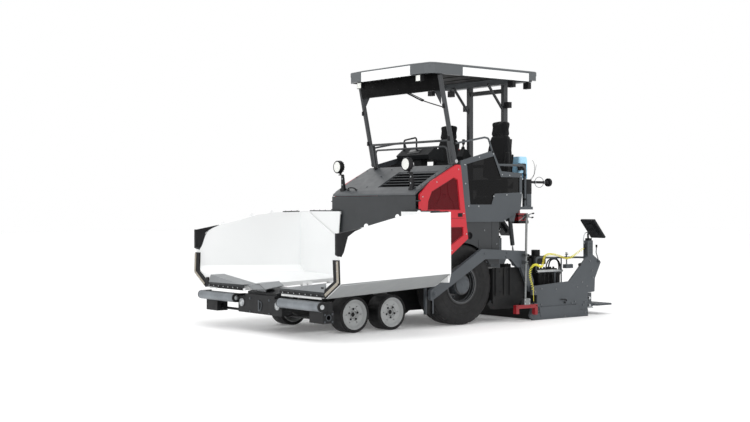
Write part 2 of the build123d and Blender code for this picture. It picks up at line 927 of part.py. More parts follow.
# Platform floor with its raised rear, rear rail column and cylinder brackets
platform_shape = [
    # x, z
    (12, floor_z),
    (-740, floor_z),
    (-1080, 1552),
    (-1350, 1552),
    (-1350, 1592),
    (-1066, 1592),
    (-728, floor_z + floor_t),
    (12, floor_z + floor_t),
]
with BuildPart() as platform:
    add(slab_y(platform_shape, -deck_half, deck_half))
    for side in (1, -1):
        add(
            slab_y(
                [(x if x < 0 else -50, z) for x, z in platform_shape],
                *sorted((side * (deck_half - 1), side * (body_half - guard_t - seat))),
            )
        )
    for side in (1, -1):
        add(
            block(
                (rear_post_x - 45, rear_post_x + 45),
                sorted((side * (deck_half - 90), side * deck_half)),
                (1591, 1970),
            )
        )
        for y in (lift_y - 32 - 12, lift_y + 32):
            ear = sorted((side * y, side * (y + 12)))
            add(
                slab_y(
                    [
                        (lift_top[0] - 40, lift_top[1] - 35),
                        (lift_top[0] + 40, lift_top[1] - 35),
                        (lift_top[0] + 60, lift_top[1] + 35),
                        (lift_top[0] - 80, lift_top[1] + 100),
                    ],
                    ear[0],
                    ear[1],
                )
            )
        add(
            rod(
                (lift_top[0], side * (lift_y - 44), lift_top[1]),
                (lift_top[0], side * (lift_y + 44), lift_top[1]),
                lift_pin_r,
            )
        )
        add(block((-1200, -640), sorted((side * (seat_y - 200), side * (seat_y + 200))), (1500, 1700)))
save(platform.part, "platform")

# Side guards with a window frame, and their glass
guard_shape = [
    # x, z
    (-40, floor_z),
    (-740, floor_z),
    (-1080, 1550),
    (-1110, 1760),
    (-1110, 2060),
    (-710, 2080),
    (-550, 2360),
    (52, 2205),
    (58, 2150),
    (-2, 1640),
]
guard_window = [
    # x, z
    (-60, 2165),
    (-560, 2285),
    (-700, 2000),
    (-1060, 2000),
    (-1060, 1790),
    (-580, 1770),
    (-520, 1620),
    (-125, 1620),
]
guard_y = (body_half - guard_t, body_half)
rail_r = 17.0
with BuildPart() as platform_guards:
    for side in (1, -1):
        across = sorted((side * guard_y[0], side * guard_y[1]))
        add(slab_y(guard_shape, *across))
        add(slab_y(guard_window, *across), mode=Mode.SUBTRACT)
        y = side * (body_half - 12)
        add(pipe([(149, y, 2434), (-400, y, 2535), (-470, y, 2525), (-545, y, 2345)], 13, 40))
        y = side * (guard_y[0] - rail_r + 2)
        add(pipe([(-640, y, 2166), (-1212, y, 2172), (-1206, y, 1600)], rail_r, 75))
        add(
            block(
                (-1232, -1180),
                sorted((side * (guard_y[0] - 36), side * guard_y[0])),
                (1592 + seat, 1606),
            )
        )
save(platform_guards.part, "platform_guards")

with BuildPart() as guard_windows:
    for side in (1, -1):
        pane = sorted((side * (guard_y[0] + 8), side * (guard_y[0] + 14)))
        add(slab_y(guard_window, *pane))
save(guard_windows.part, "guard_windows")

# Windscreen posts with header and sill tubes, and the rear posts
post_foot = (125.0, body_half - 34, 2172.0)
post_head = (384.0, roof_half - 49, post_top_z - 8)
with BuildPart() as canopy_posts:
    for side in (1, -1):
        foot = (post_foot[0], side * post_foot[1], post_foot[2])
        head = (post_head[0], side * post_head[1], post_head[2])
        add(rod(foot, head, 32))
        add(block((96, 156), sorted((side * (deck_half - 70), side * post_foot[1])), (2164, 2184)))
        add(
            block(
                (96, 148),
                sorted((side * (deck_half - 70), side * (deck_half - 10))),
                (2120 + seat, 2165),
            )
        )
        # Plate between the foot and the sill tube
        gusset = sorted((side * (deck_half - 60), side * (deck_half - 20)))
        add(slab_y([(104, 2182), (150, 2182), (214, 2490), (168, 2490)], *gusset))
        add(
            block(
                (rear_post_x - 38, rear_post_x + 38),
                sorted((side * (rear_post_y - 30), side * (rear_post_y + 30))),
                (1592 + seat, roof_z[0] - seat),
            )
        )
        brace_top = (rear_post_x + 330, side * rear_post_y, roof_z[0] - 10)
        add(rod((rear_post_x, side * rear_post_y, roof_z[0] - 400), brace_top, 20))
    add(
        slab_y(
            [
                (340, roof_z[0] - 210),
                (386, roof_z[0] - seat),
                (410, roof_z[0] - seat),
                (364, roof_z[0] - 210),
            ],
            -roof_half + 70,
            roof_half - 70,
        )
    )
    add(rod((195, -deck_half + 10, 2478), (195, deck_half - 10, 2478), 16))
    u_half = deck_half - 90
    add(
        pipe([(130, -u_half, 2123), (180, -u_half, 2400), (180, u_half, 2400), (130, u_half, 2123)], 13, 60)
    )
    add(
        block(
            (rear_post_x - 25, rear_post_x + 25),
            (-rear_post_y, rear_post_y),
            (roof_z[0] - 120, roof_z[0] - 60),
        )
    )
save(canopy_posts.part, "canopy_posts")

# Canopy: grey shell with swept corners, white fascia panels and work lamps
shell_plan = [
    # x, y
    (roof_x[0], roof_half - 30),
    (-1380, roof_half - 14),
    (480, roof_half - 14),
    (560, roof_half - 50),
    (600, roof_half - 370),
    (600, -roof_half + 370),
    (560, -roof_half + 50),
    (480, -roof_half + 14),
    (-1380, -roof_half + 14),
    (roof_x[0], -roof_half + 30),
]
with BuildPart() as canopy_shell:
    add(slab_z(shell_plan, roof_z[0] + 85, roof_z[1]))
    fillet(canopy_shell.part.faces().sort_by(Axis.Z)[-1].edges(), 18)
    for side in (1, -1):
        add(
            slab_z(
                [
                    (20, side * roof_half),
                    (516, side * roof_half),
                    (600, side * (roof_half - 110)),
                    (roof_x[1], side * (roof_half - 380)),
                    (roof_x[1] - 60, side * (roof_half - 380)),
                    (500, side * (roof_half - 80)),
                    (20, side * (roof_half - 60)),
                ],
                roof_z[0],
                roof_z[0] + 124,
            )
        )
        add(
            slab_z(
                [
                    (roof_x[0] + 2, side * (roof_half - 40)),
                    (-1380, side * roof_half),
                    (-1235, side * roof_half),
                    (-1235, side * (roof_half - 60)),
                    (roof_x[0] + 2, side * (roof_half - 60)),
                ],
                roof_z[0] + 20,
                roof_z[0] + 124,
            )
        )
    rib_half = roof_half - 55
    add(block((roof_x[0] + 2, roof_x[0] + 60), (-rib_half, rib_half), (roof_z[0] + 50, roof_z[0] + 90)))
    for low, high in ((300, 520), (rear_post_x - 60, rear_post_x + 60)):
        add(block((low, high), (-rib_half, rib_half), (roof_z[0], roof_z[0] + 86)))
save(canopy_shell.part, "canopy_shell")

with BuildPart() as canopy_fascia:
    for side in (1, -1):
        add(
            block(
                (-1234, 19),
                sorted((side * (roof_half - 14 + seat), side * (roof_half + 4))),
                (roof_z[0], roof_z[0] + 112),
            )
        )
    front_half = roof_half - 382
    add(
        block(
            (roof_x[1] - 20 + seat, roof_x[1] + 6),
            (-front_half, front_half),
            (roof_z[0] - 10, roof_z[0] + 122),
        )
    )
save(canopy_fascia.part, "canopy_fascia")



def lamp_seat(x):
    """Underside of the roof above a work lamp: the ribs hang lower than the shell"""
    return roof_z[0] + 85 if x == -960 else roof_z[0]


rear_lamp_x = (-1767.0, -1727.0)
rear_lamp_y = 800.0
rear_lamp_z = 1940.0
rear_lamp_r = 58.0
rear_arm_r = 18.0
with BuildPart() as work_lamps:
    for side in (1, -1):
        for x, y in (
            (roof_x[1] - 75, roof_half - 270),
            (rear_post_x - 20, roof_half - 110),
            (-960, roof_half - 60),
        ):
            add(block((x - 30, x + 30), (side * y - 50, side * y + 50), (roof_z[0] - 95, roof_z[0] - 5)))
            add(block((x - 8, x + 8), (side * y - 12, side * y + 12), (roof_z[0] - 6, lamp_seat(x) - seat)))
        y = side * (rear_post_y + 30)
        add(
            block(
                (rear_post_x - 30, rear_post_x + 30),
                sorted((y + side * seat, y + side * 90)),
                (roof_z[0] - 340, roof_z[0] - 255),
            )
        )
    # Round lamp on a long arm behind the left rail column
    add(
        rod(
            (-1340 - seat, rear_lamp_y, rear_lamp_z),
            (rear_lamp_x[1], rear_lamp_y, rear_lamp_z),
            rear_arm_r,
        )
    )
    add(
        rod(
            (rear_lamp_x[1], rear_lamp_y, rear_lamp_z),
            (rear_lamp_x[0], rear_lamp_y, rear_lamp_z),
            rear_lamp_r,
        )
    )
    add(
        block(
            (-1352, -1340 - seat),
            (rear_lamp_y - 30, rear_lamp_y + 30),
            (rear_lamp_z - 40, rear_lamp_z + 30),
        )
    )
save(work_lamps.part, "work_lamps")

# Operator seats and console
seat_half = 235.0
seat_top_half = 168.0
with BuildPart() as seats:
    for side in (1, -1):
        mid = side * seat_y
        add(block((-1030, -560), (mid - seat_half, mid + seat_half), (1830, 1960)))
        add(
            slab_y(
                [(-1010, 1900), (-930, 1900), (-990, 2590), (-1070, 2590)],
                mid - seat_half,
                mid + seat_half,
            )
        )
        for edge in (1, -1):
            corner = [
                (mid + edge * (seat_half + 1), 2310),
                (mid + edge * (seat_half + 1), 2600),
                (mid + edge * seat_top_half, 2600),
            ]
            add(slab_x(corner, -1080, -920), mode=Mode.SUBTRACT)
        add(slab_y([(-1075, 2610), (-985, 2610), (-1000, 2788), (-1080, 2788)], mid - 140, mid + 140))
        add(block((-1050, -1010), (mid - 60, mid + 60), (2580, 2620)))
        add(block((-980, -640), (mid - 130, mid + 130), (1700 + seat, 1835)))
save(seats.part, "seats")

with BuildPart() as console:
    add(block((-420, -300), (-480, -320), (floor_z + floor_t + seat, 2260)))
    add(slab_y([(-500, 2240), (-230, 2270), (-200, 2330), (-330, 2430), (-500, 2390)], -760, -60))
    add(block((-650, -570), (200, 280), (floor_z + floor_t + seat, 2235)))
    add(
        slab_y(
            [(-700, 2222), (-560, 2222), (-535, 2300), (-575, 2405), (-625, 2395), (-700, 2310)],
            180,
            300,
        )
    )
    add(pipe([(-300, -700, 2395), (-300, -700, 2560), (-300, -420, 2590), (-300, -420, 2395)], 12, 35))
save(console.part, "console")

with BuildPart() as rear_equipment:
    add(
        slab_y(
            [(-1405, 2080), (-1556, 2080), (-1576, 2110), (-1576, 2255), (-1540, 2312), (-1405, 2312)],
            330,
            560,
        )
    )
    fillet(rear_equipment.part.edges().filter_by(Axis.Z), 30)
    add(block((-1410, rear_post_x - 38 - seat), (345, 385), (2120, 2160)))
save(rear_equipment.part, "rear_equipment")


# Signal box under the rear of the platform
with BuildPart() as rear_signal_box:
    add(block((-1488, -1286), (530, 660), (1352, 1500)))
    fillet(rear_signal_box.part.edges().filter_by(Axis.Z), 20)
    add(block((-1345, -1300), (560, 630), (1499, 1552 - seat)))
save(rear_signal_box.part, "rear_signal_box")

# Auger carrier with side guard plates, and the augers
with BuildPart() as auger_carrier:
    add(block((-1000, -900), (-55, 55), (200, 600)))
    add(block((-980, frame_rear - seat), (-55, 55), (545, 600)))
    for side in (1, -1):
        plate = sorted((side * (body_half - 33), side * (body_half - 17)))
        add(slab_y([(-560, 180), (-560, 750), (-1200, 750), (-1200, 375), (-1010, 180)], *plate))
        add(block((-600, -560), sorted((side * (frame_y + seat), side * (body_half - 32))), (300, 740)))
        add(block((-860, -600), sorted((side * (frame_y + seat), side * (body_half - 32))), (700, 740)))
        add(rod((auger_x, side * 50, auger_z), (auger_x, side * (body_half - 32), auger_z), 20))
        # Guide tubes outside the plate, and the scraper foot behind the tyre
        for x in (-610, -770, -880):
            add(rod((x, side * (body_half - 8), 370), (x, side * (body_half - 8), 752), 12))
        add(slab_y([(-570, 185), (-570, 240), (-500, 300), (-462, 262), (-530, 185)], *plate))
save(auger_carrier.part, "auger_carrier")

with BuildPart() as auger_left:
    add(rod((auger_x, auger_y[0], auger_z), (auger_x, auger_y[1], auger_z), 38, 20 + running))
    half_turns = int((auger_y[1] - auger_y[0]) / (auger_pitch / 2))
    tilt = degrees(atan2(auger_pitch / 2, pi * 100))
    for i in range(half_turns):
        y = auger_y[0] + (i + 0.5) * auger_pitch / 2
        lean = radians(tilt if i % 2 == 0 else -tilt)
        face = Plane(origin=(auger_x, y, auger_z), x_dir=(0, 0, 1), z_dir=(sin(lean), cos(lean), 0))
        with BuildSketch(face):
            Circle(auger_r)
            Circle(34, mode=Mode.SUBTRACT)
            with Locations((-auger_r if i % 2 else auger_r, 0)):
                Rectangle(2 * auger_r, 2.2 * auger_r, mode=Mode.INTERSECT)
        extrude(amount=7, both=True)
save(auger_left.part, "auger_left")
save(other_side(auger_left.part), "auger_right")

# Tow arms with their tow eyes, the levelling brackets and the screed mounts
arm_shape = [
    # x, z
    (668, 500),
    (-250, 1020),
    (-1110, 975),
    (-1110, 760),
    (-930, 750),
    (-790, 872),
    (-310, 880),
    (640, 365),
    (668, 380),
]
with BuildPart() as tow_arms:
    for side in (1, -1):
        across = sorted((side * arm_y[0], side * arm_y[1]))
        add(slab_y(arm_shape, *across))
        with BuildSketch(side_plane(across[1] + 1)):
            with Locations((tow_x, tow_z)):
                Circle(tow_pin_r + running)
        extrude(amount=across[1] - across[0] + 2, mode=Mode.SUBTRACT)
        mount = sorted((side * (arm_y[0] - 43), side * (arm_y[0] + 1)))
        add(
            slab_y(
                [(-980, 940), (-1110, 960), (-1300, 560), (-1300, 400), (-1220, 400), (-1040, 740)],
                *mount,
            )
        )
        add(
            rod(
                (lift_eye[0], side * (lift_y - 30), lift_eye[1]),
                (lift_eye[0], side * (arm_y[0] - 42), lift_eye[1]),
                lift_pin_r,
            )
        )
save(tow_arms.part, "tow_arms")

with BuildPart() as screed_main:
    add(block((main_x[0], main_x[1] - seat), (-screed_half, screed_half), (2, 24)))
    add(
        slab_y(
            [
                (main_x[0], 23),
                (main_x[1] - seat, 23),
                (main_x[1] - seat, 420),
                (main_x[1] - 60, 470),
                (main_x[0] + 260, 470),
                (main_x[0] + 260, 330),
                (main_x[0], 300),
            ],
            -screed_half,
            screed_half,
        )
    )
    for side in (1, -1):
        for y in (180, 620):
            foot = sorted((side * y, side * (y + 120)))
            head = sorted((side * (y + 10), side * (y + 110)))
            add(block((main_x[1] - 160, main_x[1] - 120), foot, (469, 640)))
            add(block((main_x[1] - 200, main_x[1] - 80), head, (639, 760)))
        # Control block on a stand, with hoses down to the heated beam
        add(block((-1725, -1645), sorted((side * 560, side * 640)), (299, 761)))
        add(block((-1810, -1560), sorted((side * 520, side * 690)), (760, 880)))
        add(rod((-1690, side * 605, 879), (-1690, side * 605, 968), 62))
        add(block((-1560, -1500), sorted((side * 480, side * 660)), (640, 850)))
        for y, out, up in ((500, 60, 930), (560, 95, 905), (640, 40, 890)):
            route = [
                (-1600, side * y, 860),
                (-1540, side * (y + 10), up),
                (main_x[1] - 150 + out, side * (y + 25), up - 60),
                (main_x[1] - 120 + out / 2, side * (y + 30), 600),
                (main_x[1] - 110, side * (y + 30), 440),
            ]
            add(pipe(route, hose_r, 38))
    for z in guide_z:
        add(
            rod(
                (guide_x, -screed_half + 5, z),
                (guide_x, screed_half - 5, z),
                guide_r + 7,
                guide_r + running,
            )
        )
        for y in (-900, -300, 300, 900):
            add(block((main_x[0] - 12, main_x[0] + 1), (y - 20, y + 20), (z - 12, z + 12)))
    for z in guide_z:
        add(
            rod((guide_x, -screed_half, z), (guide_x, screed_half, z), guide_r + running),
            mode=Mode.SUBTRACT,
        )
save(screed_main.part, "screed_main")

# Screed extension: box, guide rods, side plate, end gate, runner and control post
ext_side = [
    # x, z
    (-1215, 478),
    (-1980, 520),
    (-2330, 842),
    (post_x[1], 868),
    (post_x[1], post_top),
    (post_x[0], post_top),
    (post_x[0], 892),
    (-2656, 777),
    (-2530, 545),
    (-2520, 350),
    (-2370, 340),
    (-2370, 60),
    (-1320, 60),
    (-1320, 350),
    (-1215, 355),
]
with BuildPart() as extension_left:
    add(block(ext_x, (8, side_plate_y[0] + 1), (2, 24)))
    add(
        slab_y(
            [
                (ext_x[0], 23),
                (ext_x[1], 23),
                (ext_x[1], 330),
                (ext_x[1] - 60, 380),
                (ext_x[0], 380),
            ],
            8,
            side_plate_y[0] + 1,
        )
    )
    add(slab_y(ext_side, *side_plate_y))
    add(
        slab_y(
            [
                (-1170, 70),
                (-1200, 130),
                (-1220, 240),
                (-1320, 240),
                (-1320, 100),
                (-2370, 100),
                (-2370, 2),
                (-1230, 2),
            ],
            side_plate_y[0] - 4,
            side_plate_y[1] + 8,
        )
    )
    add(
        slab_y(
            [(-1350, 180), (-2150, 180), (-2190, 40), (-1380, 40)],
            side_plate_y[1] - 1,
            side_plate_y[1] + 14,
        )
    )
    for z in guide_z:
        add(rod((guide_x, 20, z), (guide_x, side_plate_y[0] + 1, z), guide_r))
    # Control post, handrail, lower grab bar and the clamp that hangs from the rail
    post_y = (side_plate_y[1] - 89, side_plate_y[1] - 1)
    add(block(post_x, post_y, (700, post_top)))
    # The socket leans the way the cord leaves it
    socket_start = Vector(*cord_start) + (Vector(*cord_start) - Vector(*cord_second)).normalized() * 45
    add(rod(socket_start, Vector(*cord_start), 13))
    rail_y, rail_z = hand_rail
    add(
        pipe(
            [
                (-1445, rail_y, 690),
                (-1445, rail_y, rail_z),
                (-2300, rail_y, rail_z - 16),
                (-2440, 930, rail_z - 19),
            ],
            14,
            45,
        )
    )
    add(rod((-1455, rail_y, 672), (-1990, rail_y, 668), 13))
    for x in (-1830, -1965):
        add(rod((x, rail_y, 379), (x, rail_y, 672), 10))
    add(rod((-1965, rail_y, 660), (-1965, rail_y, rail_z - 6), 10))
    add(rod((-2065, rail_y + 12, 750), (-2065, rail_y + 12, 912), 9))
    add(block((-2150, -2010), (rail_y - 10, rail_y + 60), (702, 758)))
    add(block((-2092, -2038), (rail_y + 4, rail_y + 20), (896, 910)))
    # Crank on the side plate
    crank_y = side_plate_y[1] + 8
    add(rod((-2600, side_plate_y[1] - 4, 790), (-2600, crank_y + 8, 790), 20))
    add(pipe([(-2600, crank_y, 790), (-2545, crank_y, 925), (-2552, crank_y, 1000)], 7, 20))
    for y in (60, 480, 900):
        add(block((walkway_pivot_x + 60, ext_x[0] + 1), (y, y + 16), (120, 330)))
        add(
            slab_y(
                [
                    (walkway_pivot_x + 61, 120),
                    (walkway_pivot_x + 61, 180),
                    (walkway_pivot_x + 40, 180),
                    (walkway_pivot_x + 12, walkway_pivot_z + 14),
                    (walkway_pivot_x - 12, walkway_pivot_z + 12),
                    (walkway_pivot_x - 14, walkway_pivot_z - 12),
                    (walkway_pivot_x + 10, walkway_pivot_z - 16),
                ],
                y,
                y + 16,
            )
        )
        add(rod((walkway_pivot_x, y - 28, walkway_pivot_z), (walkway_pivot_x, y + 44, walkway_pivot_z), 9))
save(extension_left.part, "extension_left")
save(other_side(extension_left.part), "extension_right")

panel_mid_y = side_plate_y[1] - 45
with BuildPart() as control_panel_left:
    add(
        slab_y(
            [(-2405, 1392), (-2428, 1414), (-2668, 1150), (-2645, 1128)],
            panel_mid_y - 130,
            panel_mid_y + 130,
        )
    )
    fillet(control_panel_left.part.edges().filter_by(Axis.Y), 8)
    add(
        slab_y(
            [(-2455, 1335), (-2590, 1185), (-2560, 1175), (-2445, 1300)],
            panel_mid_y - 60,
            panel_mid_y + 60,
        )
    )
    add(
        block(
            (post_x[0] + 12, post_x[1] - 30),
            (panel_mid_y - 35, panel_mid_y + 35),
            (post_top + seat, 1132),
        )
    )
    add(
        pipe(
            [
                (-2430, panel_mid_y, 1130),
                (-2425, panel_mid_y, 1190),
                (-2470, panel_mid_y, 1240),
                (-2530, panel_mid_y, 1250),
            ],
            14,
            30,
        )
    )
save(control_panel_left.part, "control_panel_left")
save(other_side(control_panel_left.part), "control_panel_right")

with BuildPart() as walkway_left:
    add(block((walkway_rear_x, walkway_pivot_x - 26), (20, 950), (132, 160)))
    for y in (60, 480, 900):
        for low in (y - 27, y + 17):
            add(
                rod(
                    (walkway_pivot_x, low, walkway_pivot_z),
                    (walkway_pivot_x, low + 26, walkway_pivot_z),
                    17,
                )
            )
            add(block((walkway_pivot_x - 30, walkway_pivot_x - 8), (low, low + 26), (134, 158)))
    with BuildSketch(side_plane(1000)):
        with Locations((walkway_pivot_x, walkway_pivot_z)):
            Circle(9 + running)
    extrude(amount=1000, mode=Mode.SUBTRACT)
save(walkway_left.part, "walkway_left")
save(other_side(walkway_left.part), "walkway_right")

# Lift cylinders between the platform and the tow arms
lift_dx = lift_eye[0] - lift_top[0]
lift_dz = lift_eye[1] - lift_top[1]
lift_length = hypot(lift_dx, lift_dz)


def along_lift(distance, y):
    share = distance / lift_length
    return (lift_top[0] + lift_dx * share, y, lift_top[1] + lift_dz * share)


barrel_end = 370.0
with BuildPart() as lift_barrels:
    for side in (1, -1):
        y = side * lift_y
        add(rod((lift_top[0], y - 30, lift_top[1]), (lift_top[0], y + 30, lift_top[1]), 30))
        add(rod(along_lift(10, y), along_lift(barrel_end, y), 30))
    with BuildSketch(side_plane(1200)):
        with Locations(lift_top):
            Circle(lift_pin_r + running)
    extrude(amount=2400, mode=Mode.SUBTRACT)
    for side in (1, -1):
        y = side * lift_y
        add(rod(along_lift(40, y), along_lift(barrel_end + 5, y), 14 + running), mode=Mode.SUBTRACT)
save(lift_barrels.part, "lift_barrels")

with BuildPart() as lift_rods:
    for side in (1, -1):
        y = side * lift_y
        add(rod((lift_eye[0], y - 26, lift_eye[1]), (lift_eye[0], y + 26, lift_eye[1]), 38))
        add(rod(along_lift(250, y), along_lift(lift_length - 20, y), 14))
    with BuildSketch(side_plane(1200)):
        with Locations(lift_eye):
            Circle(lift_pin_r + 8)
    extrude(amount=2400, mode=Mode.SUBTRACT)
save(lift_rods.part, "lift_rods")

# Sensor mast on the left tow arm, with the sonic sensor at its foot
mast_y = arm_y[1] + 52
mast_foot = (-1022.0, 290.0)
mast_head = (-1050.0, 1500.0)
bar_z = (185.0, 235.0)
with BuildPart() as sensor_mast:
    add(rod((mast_foot[0], mast_y, mast_foot[1]), (mast_head[0], mast_y, mast_head[1]), 16))
    for z in (800, 900):
        add(block((-1062, -1008), (arm_y[1] + seat, mast_y + 24), (z, z + 40)))
        add(rod((-1035, mast_y + 20, z + 20), (-1035, mast_y + 62, z + 20), 7))
    add(block((-1092, -976), (mast_y - 30, mast_y + 30), (bar_z[1] + seat, 322)))
    add(block((mast_head[0] - 28, mast_head[0] + 24), (mast_y - 26, mast_y + 26), (1440, 1488)))
    add(rod((mast_head[0] - 20, mast_y, 1478), (-1160, mast_y, 1496), 7))
    add(rod((mast_head[0] - 20, mast_y, 1452), (-1145, mast_y, 1440), 6))
    add(rod((mast_head[0], mast_y - 18, 1470), (-912, mast_y - 18, 1392), 6))
save(sensor_mast.part, "sensor_mast")

with BuildPart() as sonic_sensor:
    add(block((-1240, -820), (mast_y - 26, mast_y + 26), bar_z))
    for low, high, foot in ((-1240, -1188, 88), (-876, -820, 116)):
        add(block((low, high), (mast_y - 30, mast_y + 30), (foot, bar_z[0] + 1)))
    fillet(sonic_sensor.part.edges().filter_by(Axis.Y).group_by(Axis.Z)[0], 14)
save(sonic_sensor.part, "sonic_sensor")

# Curly cord from the control post over the handrail to the sonic sensor, and its straight tail
cord_r = 17.0
tail_r = 5.0
cord_points = [
    cord_start,
    cord_second,
    (-2130, 925, 868),
    (-2010, 905, 835),
    (-1895, 888, 882),
    (-1780, 862, 910),
    (-1665, 862, 912),
    (-1572, 884, 880),
    (-1525, 914, 800),
    (-1465, 950, 745),
    (-1372, 990, 750),
    (-1275, 1020, 785),
    (-1172, 1044, 770),
    (-1112, 1052, 690),
    (-1120, 1052, 590),
    (-1162, 1052, 492),
    (-1182, 1052, 400),
]
corner_radii = []
for before, here, after in zip(cord_points, cord_points[1:], cord_points[2:]):
    run_in = Vector(*here) - Vector(*before)
    run_out = Vector(*after) - Vector(*here)
    turn = radians(run_in.get_angle(run_out))
    corner_radii.append(0.45 * min(run_in.length, run_out.length) / tan(turn / 2))
print("cord radii", [round(r) for r in corner_radii])
with BuildPart() as sensor_cord:
    with BuildLine() as cord_path:
        FilletPolyline(*cord_points, radius=corner_radii)
    with BuildSketch(Plane(origin=cord_points[0], z_dir=Vector(*cord_points[1]) - Vector(*cord_points[0]))):
        Circle(cord_r)
    sweep(path=cord_path.line)
    add(rod((-1182, mast_y, 402), (-1190, mast_y, bar_z[1] + 30), tail_r))
    add(rod((-1190, mast_y, bar_z[1] + 31), (-1190, mast_y, bar_z[1]), 11))
cord_length = cord_path.wires()[0].length
print(
    "cord length",
    round(cord_length),
    "volume ratio",
    sensor_cord.part.volume / (pi * cord_r**2 * cord_length),
)
save(sensor_cord.part, "sensor_cord")
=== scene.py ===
import bpy
import bmesh
from math import atan2, cos, exp, pi, radians, sin
from mathutils import Matrix, Vector


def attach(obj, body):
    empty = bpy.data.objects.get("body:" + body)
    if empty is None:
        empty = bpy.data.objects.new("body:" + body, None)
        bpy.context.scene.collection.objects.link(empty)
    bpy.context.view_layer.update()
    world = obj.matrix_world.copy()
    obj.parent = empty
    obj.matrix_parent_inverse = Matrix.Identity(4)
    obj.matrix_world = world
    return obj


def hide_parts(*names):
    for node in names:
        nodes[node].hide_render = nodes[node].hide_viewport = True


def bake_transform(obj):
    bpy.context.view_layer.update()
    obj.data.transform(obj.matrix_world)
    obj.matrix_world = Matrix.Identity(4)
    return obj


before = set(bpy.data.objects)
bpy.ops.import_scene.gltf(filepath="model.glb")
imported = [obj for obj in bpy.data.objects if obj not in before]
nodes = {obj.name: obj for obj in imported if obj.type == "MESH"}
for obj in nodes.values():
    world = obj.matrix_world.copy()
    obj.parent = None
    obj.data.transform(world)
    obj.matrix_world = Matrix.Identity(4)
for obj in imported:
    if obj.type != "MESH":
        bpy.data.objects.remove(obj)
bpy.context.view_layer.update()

# Metres. Places are measured along X from the rear axle, like the frame's own drawing
AXLE = 0.1
SIDES = {"left": 1, "right": -1}
hinge_y = 0.44
rear_r = 0.546
tyre_half = 0.1825
front_r = 0.23
seat_y = 0.548
mast_y = 1.052


def at(x, y, z):
    return Vector((x + AXLE, y, z))


def circle(count, start=0.0):
    """The cosine and sine of equal steps round a circle"""
    return [(cos(start + 2 * pi * k / count), sin(start + 2 * pi * k / count)) for k in range(count)]


def add_object(name, data):
    obj = bpy.data.objects.new(name, data)
    bpy.context.scene.collection.objects.link(obj)
    return obj


# Camera, where the photograph was taken from
camera_data = bpy.data.cameras.new("camera")
camera = add_object("camera", camera_data)
camera_data.lens = 57.94
camera_data.sensor_width = 36.0
camera_data.clip_end = 200.0
camera_place = at(10.98942, 12.85119, 1.57929)
camera_yaw = 4.0419
camera_pitch = -0.00285
level = cos(camera_pitch)
sight = Vector((cos(camera_yaw) * level, sin(camera_yaw) * level, sin(camera_pitch)))
camera.matrix_world = Matrix.Translation(camera_place) @ sight.to_track_quat("-Z", "Y").to_matrix().to_4x4()
bpy.context.scene.camera = camera


# Materials
def set_input(node, name, value):
    node.inputs[name].default_value = value


def new_material(name):
    m = bpy.data.materials.new(name)
    m.use_nodes = True
    shader = m.node_tree.nodes["Principled BSDF"]
    return m, m.node_tree, shader


def noise(tree, scale, detail=4.0, rough=0.5, stretch=None):
    coords = tree.nodes.new("ShaderNodeTexCoord")
    out = tree.nodes.new("ShaderNodeTexNoise")
    set_input(out, "Scale", scale)
    set_input(out, "Detail", detail)
    set_input(out, "Roughness", rough)
    if stretch:
        mapping = tree.nodes.new("ShaderNodeMapping")
        set_input(mapping, "Scale", stretch)
        tree.links.new(coords.outputs["Object"], mapping.inputs["Vector"])
        tree.links.new(mapping.outputs["Vector"], out.inputs["Vector"])
    else:
        tree.links.new(coords.outputs["Object"], out.inputs["Vector"])
    return out


def ramp(tree, source, stops):
    node = tree.nodes.new("ShaderNodeValToRGB")
    tree.links.new(source, node.inputs["Fac"])
    element = node.color_ramp.elements
    element[0].position, element[0].color = stops[0][0], (*stops[0][1], 1)
    element[1].position, element[1].color = stops[-1][0], (*stops[-1][1], 1)
    for place, colour in stops[1:-1]:
        extra = element.new(place)
        extra.color = (*colour, 1)
    return node.outputs["Color"]


def roughened(tree, shader, source, smooth, dull, high=0.7):
    """Lets the gloss vary between two values"""
    spots = ramp(tree, source.outputs["Fac"], [(0.3, (smooth,) * 3), (high, (dull,) * 3)])
    tree.links.new(spots, shader.inputs["Roughness"])


def tinted(tree, source, colour, dark, light, low=0.3, high=0.7):
    """Lets a colour drift between a darker and a lighter tone"""
    return ramp(tree, source.outputs["Fac"], [(low, shade(colour, dark)), (high, shade(colour, light))])


def bump(tree, shader, height, strength, distance):
    node = tree.nodes.new("ShaderNodeBump")
    set_input(node, "Strength", strength)
    set_input(node, "Distance", distance)
    tree.links.new(height, node.inputs["Height"])
    tree.links.new(node.outputs["Normal"], shader.inputs["Normal"])
    return node


def shade(colour, by):
    return tuple(min(1.0, c * by) for c in colour)


def painted(name, colour, rough=0.42, spread=0.06, coat=0.0, peel=0.12, dust=None, mirror=0.5):
    """Sprayed metal: slight colour drift, orange peel, and a veil of dust in patches"""
    m, tree, shader = new_material(name)
    drift = noise(tree, 1.7, 3.0)
    tone = tinted(tree, drift, colour, 1 - spread, 1 + spread)
    if dust:
        veil = noise(tree, 6.5, 6.0, 0.62)
        mask = ramp(tree, veil.outputs["Fac"], [(0.52, (0, 0, 0)), (0.78, (0.35, 0.35, 0.35))])
        mix = tree.nodes.new("ShaderNodeMix")
        mix.data_type = "RGBA"
        tree.links.new(mask, mix.inputs["Factor"])
        tree.links.new(tone, mix.inputs["A"])
        set_input(mix, "B", (*dust, 1))
        tone = mix.outputs["Result"]
    tree.links.new(tone, shader.inputs["Base Color"])
    roughened(tree, shader, noise(tree, 9.0, 5.0), rough - 0.05, rough + 0.08, 0.72)
    set_input(shader, "Coat Weight", coat)
    set_input(shader, "Specular IOR Level", mirror)
    set_input(shader, "Coat Roughness", 0.2)
    skin = noise(tree, 420.0, 2.0)
    bump(tree, shader, skin.outputs["Fac"], peel, 0.0006)
    return m


